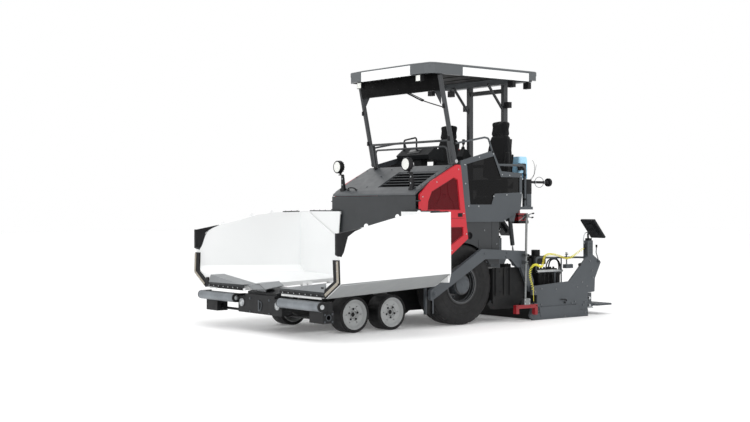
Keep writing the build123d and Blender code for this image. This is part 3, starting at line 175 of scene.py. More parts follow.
def metal(name, colour, rough=0.35, stretch=(1, 1, 1), scale=60.0, strength=0.15):
    """Bare metal with fine drawn lines and a little staining"""
    m, tree, shader = new_material(name)
    set_input(shader, "Metallic", 1.0)
    stain = noise(tree, 5.0, 6.0, 0.6)
    tree.links.new(tinted(tree, stain, colour, 0.78, 1.12), shader.inputs["Base Color"])
    lines = noise(tree, scale, 3.0, 0.5, stretch)
    roughened(tree, shader, lines, rough - 0.08, rough + 0.12)
    bump(tree, shader, lines.outputs["Fac"], strength, 0.0008)
    return m


def rubber(name, colour, rough=0.62, scale=260.0, strength=0.3, mirror=0.22):
    """Rubber and grained plastic, with paler bloom in patches"""
    m, tree, shader = new_material(name)
    set_input(shader, "Specular IOR Level", mirror)
    bloom = noise(tree, 3.2, 5.0, 0.6)
    tree.links.new(tinted(tree, bloom, colour, 0.8, 1.6, 0.32, 0.72), shader.inputs["Base Color"])
    roughened(tree, shader, noise(tree, 14.0, 5.0), rough - 0.08, rough + 0.1)
    grain = noise(tree, scale, 3.0)
    bump(tree, shader, grain.outputs["Fac"], strength, 0.0007)
    return m


def woven(name, colour, pitch=260.0):
    """Upholstery: crossed threads with a soft sheen"""
    m, tree, shader = new_material(name)
    coords = tree.nodes.new("ShaderNodeTexCoord")
    heights = []
    for axis in ("X", "Z"):
        wave = tree.nodes.new("ShaderNodeTexWave")
        wave.bands_direction = axis
        set_input(wave, "Scale", pitch)
        set_input(wave, "Distortion", 0.4)
        tree.links.new(coords.outputs["Object"], wave.inputs["Vector"])
        heights.append(wave)
    mix = tree.nodes.new("ShaderNodeMath")
    mix.operation = "MULTIPLY"
    tree.links.new(heights[0].outputs["Fac"], mix.inputs[0])
    tree.links.new(heights[1].outputs["Fac"], mix.inputs[1])
    tone = ramp(tree, mix.outputs["Value"], [(0.0, shade(colour, 0.55)), (0.8, shade(colour, 1.5))])
    tree.links.new(tone, shader.inputs["Base Color"])
    set_input(shader, "Roughness", 0.88)
    set_input(shader, "Sheen Weight", 0.1)
    set_input(shader, "Specular IOR Level", 0.2)
    bump(tree, shader, mix.outputs["Value"], 0.5, 0.0012)
    return m


def perforated(name, colour):
    """Red mesh behind a window: rows of round holes"""
    m, tree, shader = new_material(name)
    coords = tree.nodes.new("ShaderNodeTexCoord")
    mapping = tree.nodes.new("ShaderNodeMapping")
    set_input(mapping, "Rotation", (0, radians(45), 0))
    set_input(mapping, "Scale", (60, 0, 60))
    tree.links.new(coords.outputs["Object"], mapping.inputs["Vector"])
    cells = tree.nodes.new("ShaderNodeTexVoronoi")
    set_input(cells, "Scale", 1.0)
    set_input(cells, "Randomness", 0.0)
    tree.links.new(mapping.outputs["Vector"], cells.inputs["Vector"])
    hole = ramp(tree, cells.outputs["Distance"], [(0.27, shade(colour, 0.1)), (0.33, colour)])
    tree.links.new(hole, shader.inputs["Base Color"])
    deep = ramp(tree, cells.outputs["Distance"], [(0.27, (0, 0, 0)), (0.33, (1, 1, 1))])
    set_input(shader, "Roughness", 0.5)
    set_input(shader, "Specular IOR Level", 0.15)
    bump(tree, shader, deep, 0.8, 0.004)
    return m


def glazed(name, colour, alpha, rough, mirror=0.5):
    """Glass and clear plastic, faintly smeared"""
    m, tree, shader = new_material(name)
    set_input(shader, "Specular IOR Level", mirror)
    tree.links.new(tinted(tree, noise(tree, 2.0, 2.0), colour, 0.9, 1.1), shader.inputs["Base Color"])
    set_input(shader, "Roughness", rough)
    set_input(shader, "Alpha", alpha)
    smear = noise(tree, 30.0, 3.0)
    bump(tree, shader, smear.outputs["Fac"], 0.04, 0.0005)
    return m


M = {
    "white": painted("white_paint", (0.84, 0.85, 0.85), 0.4, 0.012, 0.25, 0.08),
    "anthracite": painted("anthracite_paint", (0.024, 0.027, 0.030), 0.42, 0.08, 0.1, 0.12, mirror=0.4),
    # The hood's paint is the body's anthracite made lighter: painted light on the hood top
    "hood": painted("hood_lit_paint", (0.060, 0.066, 0.071), 0.4, 0.08, 0.1, 0.12, mirror=0.5),
    "grey": painted("grey_paint", (0.064, 0.072, 0.080), 0.46, 0.06, 0.05, 0.12, mirror=0.3),
    "light_grey": painted("light_grey_paint", (0.42, 0.43, 0.44), 0.45, 0.03),
    "red": painted("red_paint", (0.50, 0.014, 0.026), 0.36, 0.04, 0.2, 0.08, mirror=0.35),
    "frame": painted("frame_paint", (0.010, 0.0105, 0.011), 0.5, 0.1, 0.0, 0.15, (0.04, 0.038, 0.035), 0.2),
    "rim": painted("rim_paint", (0.36, 0.37, 0.37), 0.4, 0.05, 0.1, 0.1),
    "rim_dark": painted("rim_dark_paint", (0.016, 0.017, 0.018), 0.3, 0.06, 0.4, 0.08, mirror=0.5),
    "tyre": rubber("tyre_black", (0.0065, 0.0065, 0.007), 0.55, 260.0, 0.3, 0.3),
    "rubber": rubber("rubber_black", (0.008, 0.008, 0.009), 0.55),
    "roller": metal("roller_steel", (0.25, 0.27, 0.29), 0.4, (12, 1, 12)),
    "chain": metal("chain_steel", (0.2, 0.2, 0.2), 0.5),
    "bright": metal("bright_steel", (0.52, 0.54, 0.55), 0.38, (8, 8, 1)),
    "mast": metal("mast_steel", (0.24, 0.25, 0.25), 0.42, (8, 8, 1)),
    "fixing": metal("fixing_steel", (0.22, 0.23, 0.24), 0.45, (8, 8, 1)),
    "chrome": metal("rod_chrome", (0.75, 0.76, 0.77), 0.14, (8, 8, 1), 60.0, 0.03),
    "glass": glazed("tint_glass", (0.002, 0.002, 0.0024), 0.90, 0.05, 0.16),
    "lamp": rubber("lamp_black", (0.008, 0.008, 0.009), 0.4, 300.0, 0.1),
    "lens": glazed("lamp_lens", (0.85, 0.86, 0.82), 1.0, 0.12),
    "fabric": woven("seat_fabric", (0.0065, 0.007, 0.008)),
    "console": rubber("console_plastic", (0.009, 0.010, 0.011), 0.5, 380.0, 0.2),
    "blue": painted("blue_plastic", (0.42, 0.74, 0.98), 0.4, 0.04, 0.1),
    "red_plastic": painted("red_plastic", (0.24, 0.005, 0.010), 0.32, 0.05, 0.2, 0.06, mirror=0.35),
    "yellow": rubber("cable_yellow", (0.80, 0.62, 0.06), 0.45, 200.0, 0.12, 0.4),
    "mesh": perforated("red_mesh", (0.12, 0.004, 0.008)),
    "battery": painted("battery_casing", (0.12, 0.12, 0.13), 0.5),
    "amber": glazed("amber_lens", (0.80, 0.20, 0.02), 1.0, 0.15),
    "skirt": painted("skirt_plastic", (0.25, 0.26, 0.262), 0.55, 0.04),
    "door_edge": painted("dark_red_paint", (0.20, 0.006, 0.012), 0.45, 0.05),
    "charcoal": painted("charcoal_paint", (0.022, 0.0245, 0.027), 0.48, 0.08, 0.0, 0.12, mirror=0.3),
    "beam": painted("beam_paint", (0.0095, 0.0100, 0.0108), 0.48, 0.08, 0.0, 0.12, mirror=0.22),
    "post": painted("post_paint", (0.034, 0.037, 0.040), 0.42, 0.06, 0.1, 0.12, mirror=0.45),
    "roof": painted("roof_paint", (0.088, 0.096, 0.102), 0.42, 0.06, 0.1, 0.12, mirror=0.4),
    "apron": painted("apron_steel", (0.19, 0.20, 0.208), 0.4, 0.10, 0.0, 0.15, mirror=0.5),
    # A near-black sheet material, painted as shade under the roof and in the windscreen header
    "black": painted("shade_black_sheet", (0.0022, 0.0022, 0.0024), 0.6, 0.08, 0.0, 0.12, mirror=0.08),
    "screen": glazed("screen_glass", (0.006, 0.007, 0.009), 1.0, 0.09),
    "sand": painted("clamp_strip", (0.30, 0.27, 0.22), 0.5, 0.08),
}

node_finish = {
    "anthracite": ["body_panels"],
    "hood": ["hood_lid"],
    "grey": ["platform", "platform_guards", "tow_arms"],
    "frame": ["main_frame", "front_axle", "auger_carrier", "screed_main"],
    "white": ["hopper_rear_walls", "wing_left", "wing_right", "canopy_fascia"],
    "red": ["side_door_left", "side_door_right"],
    "rubber": ["wing_trim_left", "wing_trim_right"],
    "roller": ["push_roller_left", "push_roller_right", "auger_left", "auger_right"],
    "chain": ["conveyor"],
    "lamp": ["hood_lamps", "work_lamps"],
    "glass": ["guard_windows"],
    "fabric": ["seats"],
    "console": ["console", "control_panel_left", "control_panel_right"],
    "charcoal": ["lift_barrels"],
    "post": ["canopy_posts"],
    "beam": ["bumper_beam"],
    "roof": ["canopy_shell"],
    "yellow": ["sensor_cord"],
    "blue": ["rear_equipment"],
    "mast": ["sensor_mast"],
    "rim_dark": ["rear_rim_left", "rear_rim_right"],
    "chrome": ["lift_rods"],
    "red_plastic": ["sonic_sensor", "rear_signal_box"],
    "battery": ["battery_block"],
}
for side in SIDES:
    node_finish["grey"] += [f"extension_{side}", f"walkway_{side}"]
    node_finish.setdefault("tyre", []).append(f"rear_tyre_{side}")
    for pair in ("front", "rear"):
        node_finish["tyre"].append(f"tyre_{pair}_pair_{side}")
        node_finish.setdefault("rim", []).append(f"rim_{pair}_pair_{side}")
        node_finish["frame"].append(f"knuckle_{pair}_pair_{side}")


def dress(obj, material):
    if not obj.material_slots:
        obj.data.materials.append(material)
    for slot in obj.material_slots:
        slot.link = "OBJECT"
        slot.material = material


for finish, names in node_finish.items():
    for name in names:
        if name in nodes:
            dress(nodes[name], M[finish])


# Mesh shapes, gathered into one piece at a time
class Piece:
    """Shapes are given as on the left side of the machine, and way -1 puts them on the right"""

    def __init__(self, name, way=1):
        self.name = name
        self.way = way
        self.mesh = bmesh.new()

    def at(self, x, y, z):
        return at(x, self.way * y, z)

    def vert(self, x, y, z):
        return self.mesh.verts.new(self.at(x, y, z))

    def soften(self, made, width, angle=0.6):
        if width <= 0:
            return
        edges = {e for v in made for e in v.link_edges}
        sharp = [e for e in edges if len(e.link_faces) == 2 and e.calc_face_angle(0) > angle]
        bmesh.ops.bevel(self.mesh, geom=sharp, offset=width, segments=2, affect="EDGES", profile=0.5)

    def skin(self, rows, loop_rows=False):
        """Faces between neighbouring rows of vertices, each row a closed outline"""
        count, width = len(rows), len(rows[0])
        for i in range(count if loop_rows else count - 1):
            a, b = rows[i], rows[(i + 1) % count]
            for j in range(width):
                k = (j + 1) % width
                self.mesh.faces.new((a[j], b[j], b[k], a[k]))

    def shell(self, rows):
        """A skin with a face on either end"""
        self.skin(rows)
        self.mesh.faces.new(rows[0])
        self.mesh.faces.new(rows[-1])

    def block(self, low, high, bevel=0.003, turn=None):
        """A box between two corners, turned about its middle"""
        low, high = self.at(*low), self.at(*high)
        size = [abs(b - a) for a, b in zip(low, high)]
        place = Matrix.Translation((low + high) / 2)
        if turn:
            place = place @ turn
        place = place @ Matrix.Diagonal((*size, 1))
        made = bmesh.ops.create_cube(self.mesh, size=1.0, matrix=place)["verts"]
        self.soften(made, min(bevel, min(size) * 0.45))

    def rod(self, start, end, r, r_end=None, sides=24, bevel=0.0):
        start, end = self.at(*start), self.at(*end)
        line = end - start
        place = Matrix.Translation((start + end) / 2) @ line.to_track_quat("Z", "Y").to_matrix().to_4x4()
        made = bmesh.ops.create_cone(
            self.mesh,
            cap_ends=True,
            segments=sides,
            radius1=r,
            radius2=r if r_end is None else r_end,
            depth=line.length,
            matrix=place,
        )["verts"]
        if bevel:
            self.soften(made, bevel, 1.0)

    def peg(self, x, z, y_start, y_end, *form):
        """A rod straight across the machine"""
        self.rod((x, y_start, z), (x, y_end, z), *form)

    def ring(self, centre, axis, r, thick, sides=40, around=10):
        """A round bar bent into a ring"""
        turn = Vector(axis).to_track_quat("Z", "Y").to_matrix()
        rows = []
        for along_x, along_y in circle(sides):
            row = []
            for out, up in circle(around):
                reach = r + thick * out
                local = Vector((reach * along_x, reach * along_y, thick * up))
                row.append(self.mesh.verts.new(self.at(*centre) + turn @ local))
            rows.append(row)
        self.skin(rows, True)

    def prism(self, outline, low, high, across="Y", bevel=0.002):
        """A plate: outline points in the plane across the named axis"""
        rows = []
        for depth in (low, high):
            corners = [(a, depth, b) if across == "Y" else (depth, a, b) for a, b in outline]
            rows.append([self.vert(*corner) for corner in corners])
        self.shell(rows)
        made = [v for row in rows for v in row]
        bmesh.ops.recalc_face_normals(self.mesh, faces=list({f for v in made for f in v.link_faces}))
        self.soften(made, bevel)

    def pipe(self, line, r, sides):
        """A round skin along a line, with its seam kept from twisting"""
        rows = []
        normal = (line[1] - line[0]).orthogonal().normalized()
        for i, p in enumerate(line):
            ahead = (line[min(i + 1, len(line) - 1)] - line[max(i - 1, 0)]).normalized()
            normal = (normal - ahead * normal.dot(ahead)).normalized()
            other = ahead.cross(normal)
            rows.append([self.mesh.verts.new(p + r * (c * normal + s * other)) for c, s in circle(sides)])
        self.shell(rows)

    def tube(self, points, r, sides=10, steps=6, smooth=True):
        """A pipe through points, rounded at its corners"""
        line = [self.at(*p) for p in points]
        if smooth and len(line) > 2:
            line = rounded(line, steps)
        self.pipe(line, r, sides)

    def bolt(self, x, y, z, axis, r=0.012, high=0.009, washer=True):
        """A hexagon head on a washer, standing on a face"""
        out = Vector(axis)
        foot = Vector((x, y, z))
        if washer:
            self.rod(foot, foot + out * 0.003, r * 1.45, None, 20)
        self.rod(foot + out * 0.002, foot + out * (0.003 + high), r, None, 6, 0.0012)

    def side_bolts(self, places, y, r, high, washer=True):
        """Bolts on a face that looks out sideways, at places (x, z)"""
        for x, z in places:
            self.bolt(x, y, z, (0, 1, 0), r, high, washer)

    def tread(self, x, y, z, high, rows, columns):
        """Raised bars, turned one way and the other by turns, from a corner at x and y"""
        for i in range(rows):
            for j in range(columns):
                turn = Matrix.Rotation(radians(45 if (i + j) % 2 else -45), 4, "Z")
                bar_x, bar_y = x + 0.036 * i, y + 0.036 * j
                start = (bar_x - 0.012, bar_y - 0.003, z)
                end = (bar_x + 0.012, bar_y + 0.003, z + high)
                self.block(start, end, 0.0007, turn)

    def done(self, material, body, slot=None, smooth=True, replaces=()):
        bmesh.ops.recalc_face_normals(self.mesh, faces=self.mesh.faces[:])
        data = bpy.data.meshes.new(self.name)
        self.mesh.to_mesh(data)
        self.mesh.free()
        obj = add_object(self.name, data)
        if smooth:
            data.polygons.foreach_set("use_smooth", [True] * len(data.polygons))
            data.set_sharp_from_angle(angle=radians(38))
        data.materials.append(M[material])
        if body:
            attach(obj, body)
        if replaces:
            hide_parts(*replaces)
        return obj


def rounded(points, steps=6):
    """Points along a quadratic B-spline through the middles of the runs"""
    line = [points[0]]
    for i in range(1, len(points) - 1):
        start = points[0] if i == 1 else (points[i - 1] + points[i]) / 2
        end = points[-1] if i == len(points) - 2 else (points[i] + points[i + 1]) / 2
        for k in range(1, steps + 1):
            t = k / steps
            line.append((1 - t) ** 2 * start + 2 * t * (1 - t) * points[i] + t**2 * end)
    return line


# Curly cord: its route is that of the tube in the part's source, and the curl winds round it
cord_route_points = [
    (-2.345, 0.945, 0.985),
    (-2.245, 0.938, 0.940),
    (-2.130, 0.925, 0.868),
    (-2.010, 0.905, 0.835),
    (-1.895, 0.888, 0.882),
    (-1.780, 0.862, 0.910),
    (-1.665, 0.862, 0.912),
    (-1.572, 0.884, 0.880),
    (-1.525, 0.914, 0.800),
    (-1.465, 0.950, 0.745),
    (-1.372, 0.990, 0.750),
    (-1.275, 1.020, 0.785),
    (-1.172, 1.044, 0.770),
    (-1.112, 1.052, 0.690),
    (-1.120, 1.052, 0.590),
    (-1.162, 1.052, 0.492),
    (-1.182, 1.052, 0.400),
]
curl_r = 0.017
wire_r = 0.0036
# Share of the way along, and the distance between turns there
curl_pitch = [
    (0.0, 0.040), (0.07, 0.032), (0.12, 0.0225), (0.7, 0.0215), (0.78, 0.025), (0.9, 0.032), (1.0, 0.040)
]


def between(table, t):
    """Reads a table of (place, value) between its entries"""
    for (a, low), (b, high) in zip(table, table[1:]):
        if t <= b:
            return low + (high - low) * (t - a) / (b - a)
    return table[-1][1]


route = bpy.data.curves.new("cord_route", "CURVE")
route.dimensions = "3D"
route.resolution_u = 24
spline = route.splines.new("NURBS")
spline.points.add(len(cord_route_points) - 1)
for point, place in zip(spline.points, cord_route_points):
    point.co = (*at(*place), 1.0)
spline.order_u = 3
spline.use_endpoint_u = True
route_object = add_object("cord_route", route)
route_mesh = bpy.data.meshes.new_from_object(route_object)
route_line = [v.co.copy() for v in route_mesh.vertices]
bpy.data.objects.remove(route_object)

run = [0.0]
for a, b in zip(route_line, route_line[1:]):
    run.append(run[-1] + (b - a).length)
route_length = run[-1]
turn_steps = 16
curl_fade = 0.03
helix = [route_line[0]]
angle = 0.0
travelled = 0.0
place_index = 0
across = (route_line[1] - route_line[0]).orthogonal().normalized()
while travelled < route_length - 0.001:
    step = between(curl_pitch, travelled / route_length) / turn_steps
    travelled += step
    angle += 2 * pi / turn_steps
    while place_index < len(run) - 2 and run[place_index + 1] < travelled:
        place_index += 1
    share = (travelled - run[place_index]) / (run[place_index + 1] - run[place_index])
    middle = route_line[place_index].lerp(route_line[place_index + 1], min(share, 1.0))
    ahead = (route_line[place_index + 1] - route_line[place_index]).normalized()
    across = (across - ahead * across.dot(ahead)).normalized()
    other = ahead.cross(across)
    fade = min(1.0, travelled / curl_fade, max(0.0, (route_length - travelled) / curl_fade))
    reach = (curl_r - wire_r) * fade
    helix.append(middle + reach * (cos(angle) * across + sin(angle) * other))
tail_end = at(-1.190, mast_y, 0.262)
for k in range(1, 9):
    helix.append(route_line[-1].lerp(tail_end, k / 8))
helix = [p for i, p in enumerate(helix) if i == 0 or (p - helix[i - 1]).length > 0.0006]

curl = Piece("curly_cord")
curl.pipe(helix, wire_r, 7)
cord_piece = curl.done("yellow", None, "cable_yellow", replaces=("sensor_cord",))

cord_plug = Piece("cord_plug")
cord_plug.rod((-1.190, mast_y, 0.236), (-1.190, mast_y, 0.262), 0.0105, 0.009, 20, 0.0015)
cord_plug.rod((-1.190, mast_y, 0.259), (-1.1895, mast_y, 0.275), 0.007, 0.0045, 16)
for k in range(3):
    cord_plug.ring((-1.190, mast_y, 0.243 + 0.005 * k), (0, 0, 1), 0.0102, 0.0009, 20, 6)
plug_piece = cord_plug.done("rubber", "screed", "rubber_black")
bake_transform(cord_piece)
helix_length = sum((b - a).length for a, b in zip(helix, helix[1:]))
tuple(helix[0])
socket = Piece("cord_socket")
socket_mouth = Vector(cord_route_points[0])
socket_out = (Vector(cord_route_points[1]) - socket_mouth).normalized()
socket_across = socket_out.orthogonal().normalized()
socket_up = socket_out.cross(socket_across)
socket_r = 0.0165
for low, high, r in ((-0.028, -0.010, socket_r), (-0.010, 0.0, 0.0145)):
    socket.rod(socket_mouth + socket_out * low, socket_mouth + socket_out * high, r, None, 24, 0.0015)
for c, s in circle(10):
    grip = socket_mouth + socket_r * (c * socket_across + s * socket_up)
    socket.rod(grip - socket_out * 0.026, grip - socket_out * 0.012, 0.0016, None, 8)
socket.done("rubber", "screed_extension_left", "rubber_black")


# Hopper wings: clamp strips and bolts of the rubber edges, corner lips, marker boxes, ribs and skirts
for side, way in SIDES.items():
    wing_body = f"hopper_wing_{side}"
    strip = Piece(f"wing_clamp_strip_{side}", way)
    width = 0.036
    for (y0, z0), (y1, z1) in (((1.622, 0.955), (1.637, 0.70)), ((1.630, 0.700), (1.385, 0.545))):
        length = Vector((y1 - y0, z1 - z0)).length
        lean = atan2(z1 - z0, y1 - y0)
        y, z = (y0 + y1) / 2, (z0 + z1) / 2
        turn = Matrix.Rotation(lean if way > 0 else pi - lean, 4, "X")
        low = (2.6435, y - length / 2, z - width / 2)
        high = (2.6505, y + length / 2, z + width / 2)
        strip.block(low, high, 0.0015, turn)
    strip.done("sand", wing_body, "rubber_black")

    bolts = Piece(f"wing_bolts_{side}", way)
    for y, z in ((1.625, 0.93), (1.631, 0.84), (1.636, 0.75), (1.58, 0.663), (1.50, 0.613), (1.42, 0.565)):
        bolts.bolt(2.6505, y, z, (1, 0, 0), 0.007, 0.004, False)
    for i in range(7):
        bolts.bolt(2.655, 0.52 + 0.12 * i, 0.538, (1, 0, 0), 0.008, 0.004, False)
    bolts.done("bright", wing_body, "bright_steel")

    edge = Piece(f"corner_plate_lip_{side}", way)
    lip = [(2.650, 1.034), (2.598, 1.008), (2.558, 1.064), (2.498, 1.243), (2.398, 1.303), (2.292, 1.339)]
    edge.tube([(x, 1.598, z) for x, z in lip], 0.004, 8, 3)
    edge.done("grey", wing_body, "rubber_black")

    marker = Piece(f"marker_box_{side}", way)
    outline = [
        (2.545, 1.005), (2.515, 1.005), (2.515, 0.945), (2.465, 0.925), (2.470, 0.905), (2.545, 0.92)
    ]
    marker.prism(outline, 1.6402, 1.650)
    marker.done("light_grey", wing_body, "white_paint")

    reflector = Piece(f"side_marker_{side}", way)
    reflector.peg(2.422, 0.982, 1.6402, 1.650, 0.017, 0.015, 24, 0.001)
    reflector.ring((2.422, 1.6485, 0.982), (0, 1, 0), 0.0155, 0.0018, 24, 6)
    reflector.done("amber", wing_body, "red_plastic")

    crease = Piece(f"wing_ribs_{side}", way)
    for (x0, z0), (x1, z1) in (((1.381, 1.138), (0.945, 1.267)), ((2.515, 0.681), (1.762, 0.729))):
        crease.tube([(x0, 1.6395, z0), (x1, 1.6395, z1)], 0.0042, 10, 1, False)
    crease.tube([(2.605, 1.6405, 0.672), (0.935, 1.6405, 0.755)], 0.005, 10, 1, False)
    crease.done("light_grey", wing_body, "white_paint")

    skirt = Piece(f"wing_skirt_{side}", way)
    top_y, foot_y = 1.6572, 1.3665
    rows = []
    for x, top_z, foot_z in ((2.606, 0.6885, 0.5035), (0.917, 0.7535, 0.5835)):
        inner_face = [(x, top_y - 0.0008, top_z), (x, foot_y - 0.0008, foot_z)]
        outer_face = [(x, top_y + 0.0014, top_z - 0.0022), (x, foot_y + 0.0014, foot_z - 0.0022)]
        corners = (inner_face[0], outer_face[0], outer_face[1], inner_face[1])
        rows.append([skirt.vert(*corner) for corner in corners])
    skirt.shell(rows)
    skirt.done("skirt", wing_body, "grey_paint", smooth=False)


# Hopper wings: steel aprons folded over the front of their floors, floor strips, lugs and top strips
def floor_z(x, y):
    """Height of the upper face of the wing floor"""
    forward = (x - 0.905) / 1.715
    inner_z, outer_z = 0.625 - 0.055 * forward, 0.660 + 0.040 * forward
    return inner_z + (outer_z - inner_z) * (abs(y) - hinge_y) / 1.05


for side, way in SIDES.items():
    wing_body = f"hopper_wing_{side}"
    apron = Piece(f"wing_apron_{side}", way)
    # The two sides differ, as in the photograph
    inner, outer = (0.441, 1.372) if way > 0 else (0.382, 1.262)
    back_in, back_out = (0.790, 1.300) if way > 0 else (0.440, 1.235)
    folds = []
    for k in range(9):
        share = k / 8
        y = inner + (outer - inner) * share
        y_back = back_in + (back_out - back_in) * share
        crest = max(floor_z(2.62, max(y, hinge_y)) + 0.006, 0.589)
        back_z = floor_z(2.43, y_back)
        fold = [(2.653, y, 0.587 - 0.006 * share), (2.6215, y, crest), (2.430, y_back, back_z + 0.016)]
        fold += [(2.430, y_back, back_z + 0.004), (2.6210, y, 0.579), (2.650, y, 0.579)]
        folds.append([apron.vert(*corner) for corner in fold])
    apron.shell(folds)
    apron.done("apron", wing_body, "white_paint", smooth=False)

    lip = Piece(f"wing_apron_lip_{side}", way)
    lip.prism([(inner, 0.586), (inner, 0.538), (outer, 0.534), (outer, 0.580)], 2.645, 2.653, "X", 0.002)
    for k in range(7):
        lip.bolt(2.653, inner + 0.06 + 0.13 * k, 0.560, (1, 0, 0), 0.0065, 0.003, False)
    lip.done("charcoal", wing_body, "white_paint")

    strip = Piece(f"wing_floor_strip_{side}", way)
    if way > 0:
        strip.block((2.630, 0.46, 0.490), (2.640, 1.30, 0.514), 0.002)
        strip.prism([(0.46, 0.514), (1.30, 0.514), (1.30, 0.532), (0.46, 0.532)], 2.6215, 2.640, "X", 0.002)
    else:
        strip.block((2.6215, 1.082, 0.499), (2.634, 1.268, 0.526), 0.003)
        strip.block((2.6215, 0.382, 0.510), (2.634, 0.437, 0.543), 0.003)
        # A dark strip along the front of the right wing's floor, between its two white strips: painted
        # shade
        shade_strip = Piece("wing_shade_strip")
        shade_strip.block((2.6212, -1.078, 0.506), (2.627, -0.441, 0.536), 0.002)
        shade_strip.done("rubber", wing_body, "white_paint")
    strip.done("white", wing_body, "white_paint")

    lugs = Piece(f"wing_lugs_{side}", way)
    for x, z in ((2.219, 1.363), (1.742, 1.473), (1.40, 1.519)):
        half = [(x + 0.032 * c, z - 0.012 + 0.038 * s) for c, s in circle(24)[:13]]
        lugs.prism(half, 1.6205, 1.6285, "Y", 0.001)
        lugs.ring((x, 1.6245, z + 0.006), (0, 1, 0), 0.0125, 0.0052, 24, 8)
    lugs.done("white", wing_body, "white_paint")

    cap = Piece(f"wing_top_strip_{side}", way)
    cap.prism([(0.925, 1.5195), (1.20, 1.5135), (1.20, 1.5275), (0.925, 1.5335)], 1.604, 1.640, "Y", 0.003)
    for k in range(3):
        cap.bolt(0.96 + 0.10 * k, 1.622, 1.5325 - 0.0022 * k, (0, 0, 1), 0.008, 0.004, False)
    cap.done("charcoal", wing_body, "white_paint")

# Hopper: folded flap between the two aprons, on two brackets
flap = Piece("centre_flap")
lip_x, crease_x = 2.6555, 2.430
front_face = [(lip_x, -0.290, 0.578), (lip_x, -0.013, 0.612), (lip_x, 0.120, 0.553), (lip_x, -0.170, 0.532)]
top_face = [
    (lip_x, -0.290, 0.5910), (lip_x, -0.013, 0.6135), (crease_x, 0.100, 0.648), (crease_x, -0.290, 0.612)
]
side_face = [
    (lip_x, -0.013, 0.6135), (lip_x, 0.120, 0.5545), (crease_x, 0.200, 0.600), (crease_x, 0.100, 0.648)
]
for outline, dx, dz in ((front_face, -0.010, 0.0), (top_face, 0.0, -0.008), (side_face, 0.0, -0.008)):
    back = [(x + dx, y, z + dz) for x, y, z in outline]
    flap.shell([[flap.vert(*corner) for corner in row] for row in (outline, back)])
for x in (2.46, 2.58):
    outline = [(-0.16, 0.492), (0.04, 0.492), (0.03, 0.585), (-0.02, 0.600), (-0.15, 0.590)]
    flap.prism(outline, x, x + 0.012, "X", 0.001)
flap.done("apron", "chassis", "grey_paint", smooth=False)

# Hopper: caps on the rear walls
wall_caps = Piece("rear_wall_caps")
for way in SIDES.values():
    wall_caps.way = way
    wall_caps.block((0.856, 0.70, 1.5265), (0.891, 1.40, 1.541), 0.003)
    for k in range(5):
        wall_caps.bolt(0.873, 0.76 + 0.14 * k, 1.541, (0, 0, 1), 0.008, 0.004, False)
wall_caps.done("charcoal", "chassis", "white_paint")

# Bumper beam: bright discs, roller ends, lug rings and the centre hook
for side, way in SIDES.items():
    disc = Piece(f"beam_disc_{side}", way)
    y, z = 0.41, 0.36
    disc.rod((2.6603, y, z), (2.672, y, z), 0.052, 0.050, 40, 0.002)
    disc.rod((2.671, y, z), (2.681, y, z), 0.030, 0.028, 32, 0.002)
    disc.ring((2.6725, y, z), (1, 0, 0), 0.042, 0.0025, 32, 8)
    for c, s in circle(4, pi / 4):
        disc.bolt(2.672, y + 0.041 * c, z + 0.041 * s, (1, 0, 0), 0.006, 0.004, False)
    disc.done("bright", "chassis", "bright_steel")

    cap = Piece(f"roller_end_{side}", way)
    for y, outward in ((1.389, 1), (0.501, -1)):
        cap.peg(2.69, 0.41, y, y + outward * 0.005, 0.030, 0.028, 32, 0.001)
        cap.bolt(2.69, y + outward * 0.004, 0.41, (0, outward, 0), 0.012, 0.006)
    cap.done("bright", "chassis", "bright_steel")

    lug = Piece(f"lug_ring_{side}", way)
    lug.ring((2.56, 1.3405, 0.275), (0, 1, 0), 0.034, 0.005, 36, 8)
    lug.side_bolts(((2.505, 0.315), (2.615, 0.315), (2.505, 0.225), (2.615, 0.225)), 1.3402, 0.009, 0.005)
    lug.done("grey", "chassis", "grey_paint")

hook = Piece("beam_hook")
outline = [(-0.02, 0.27), (0.03, 0.27), (0.03, 0.288), (0.0, 0.292), (0.0, 0.41), (-0.02, 0.41)]
hook.prism(outline, 2.6603, 2.672, "X", 0.002)
bends = [(2.6655, -0.01, 0.385), (2.6655, 0.05, 0.405), (2.6655, 0.055, 0.31), (2.6655, 0.02, 0.279)]
hook.tube(bends, 0.0055, 10, 6)
for y, z in ((-0.22, 0.25), (0.22, 0.25), (-0.22, 0.42), (0.22, 0.42)):
    hook.bolt(2.6603, y, z, (1, 0, 0), 0.011, 0.007)
hook.done("grey", "chassis", "grey_paint")

# Conveyor: links and rollers of its four chains
links = Piece("conveyor_chain_links")
for y in (0.075, 0.30, -0.075, -0.30):
    for i in range(44):
        x = -0.73 + 0.0684 * i
        for link_y in (y - 0.013, y + 0.013):
            links.block((x - 0.026, link_y - 0.003, 0.4703), (x + 0.026, link_y + 0.003, 0.488), 0.002)
        links.peg(x - 0.018, 0.479, y - 0.014, y + 0.014, 0.006, None, 10)
links.done("chain", "chassis", "chain_steel")

# Hood: handle and latch
handle = Piece("hood_handle")
bends = [(0.775, -0.63, 1.822), (0.795, -0.63, 1.855), (0.795, -0.45, 1.855), (0.775, -0.45, 1.822)]
handle.tube(bends, 0.009, 12, 6)
for y in (-0.63, -0.45):
    handle.block((0.760, y - 0.016, 1.820), (0.792, y + 0.016, 1.832), 0.003)
handle.done("rubber", "hood", "rubber_black")

latch = Piece("hood_latch")
latch.rod((0.225, -0.70, 2.134), (0.232, -0.70, 2.158), 0.022, 0.018, 24, 0.003)
latch.tube([(0.232, -0.70, 2.156), (0.26, -0.72, 2.170), (0.245, -0.745, 2.164)], 0.006, 10, 5)
latch.block((0.205, -0.73, 2.128), (0.255, -0.67, 2.140), 0.003)
latch.done("rubber", "hood", "rubber_black")

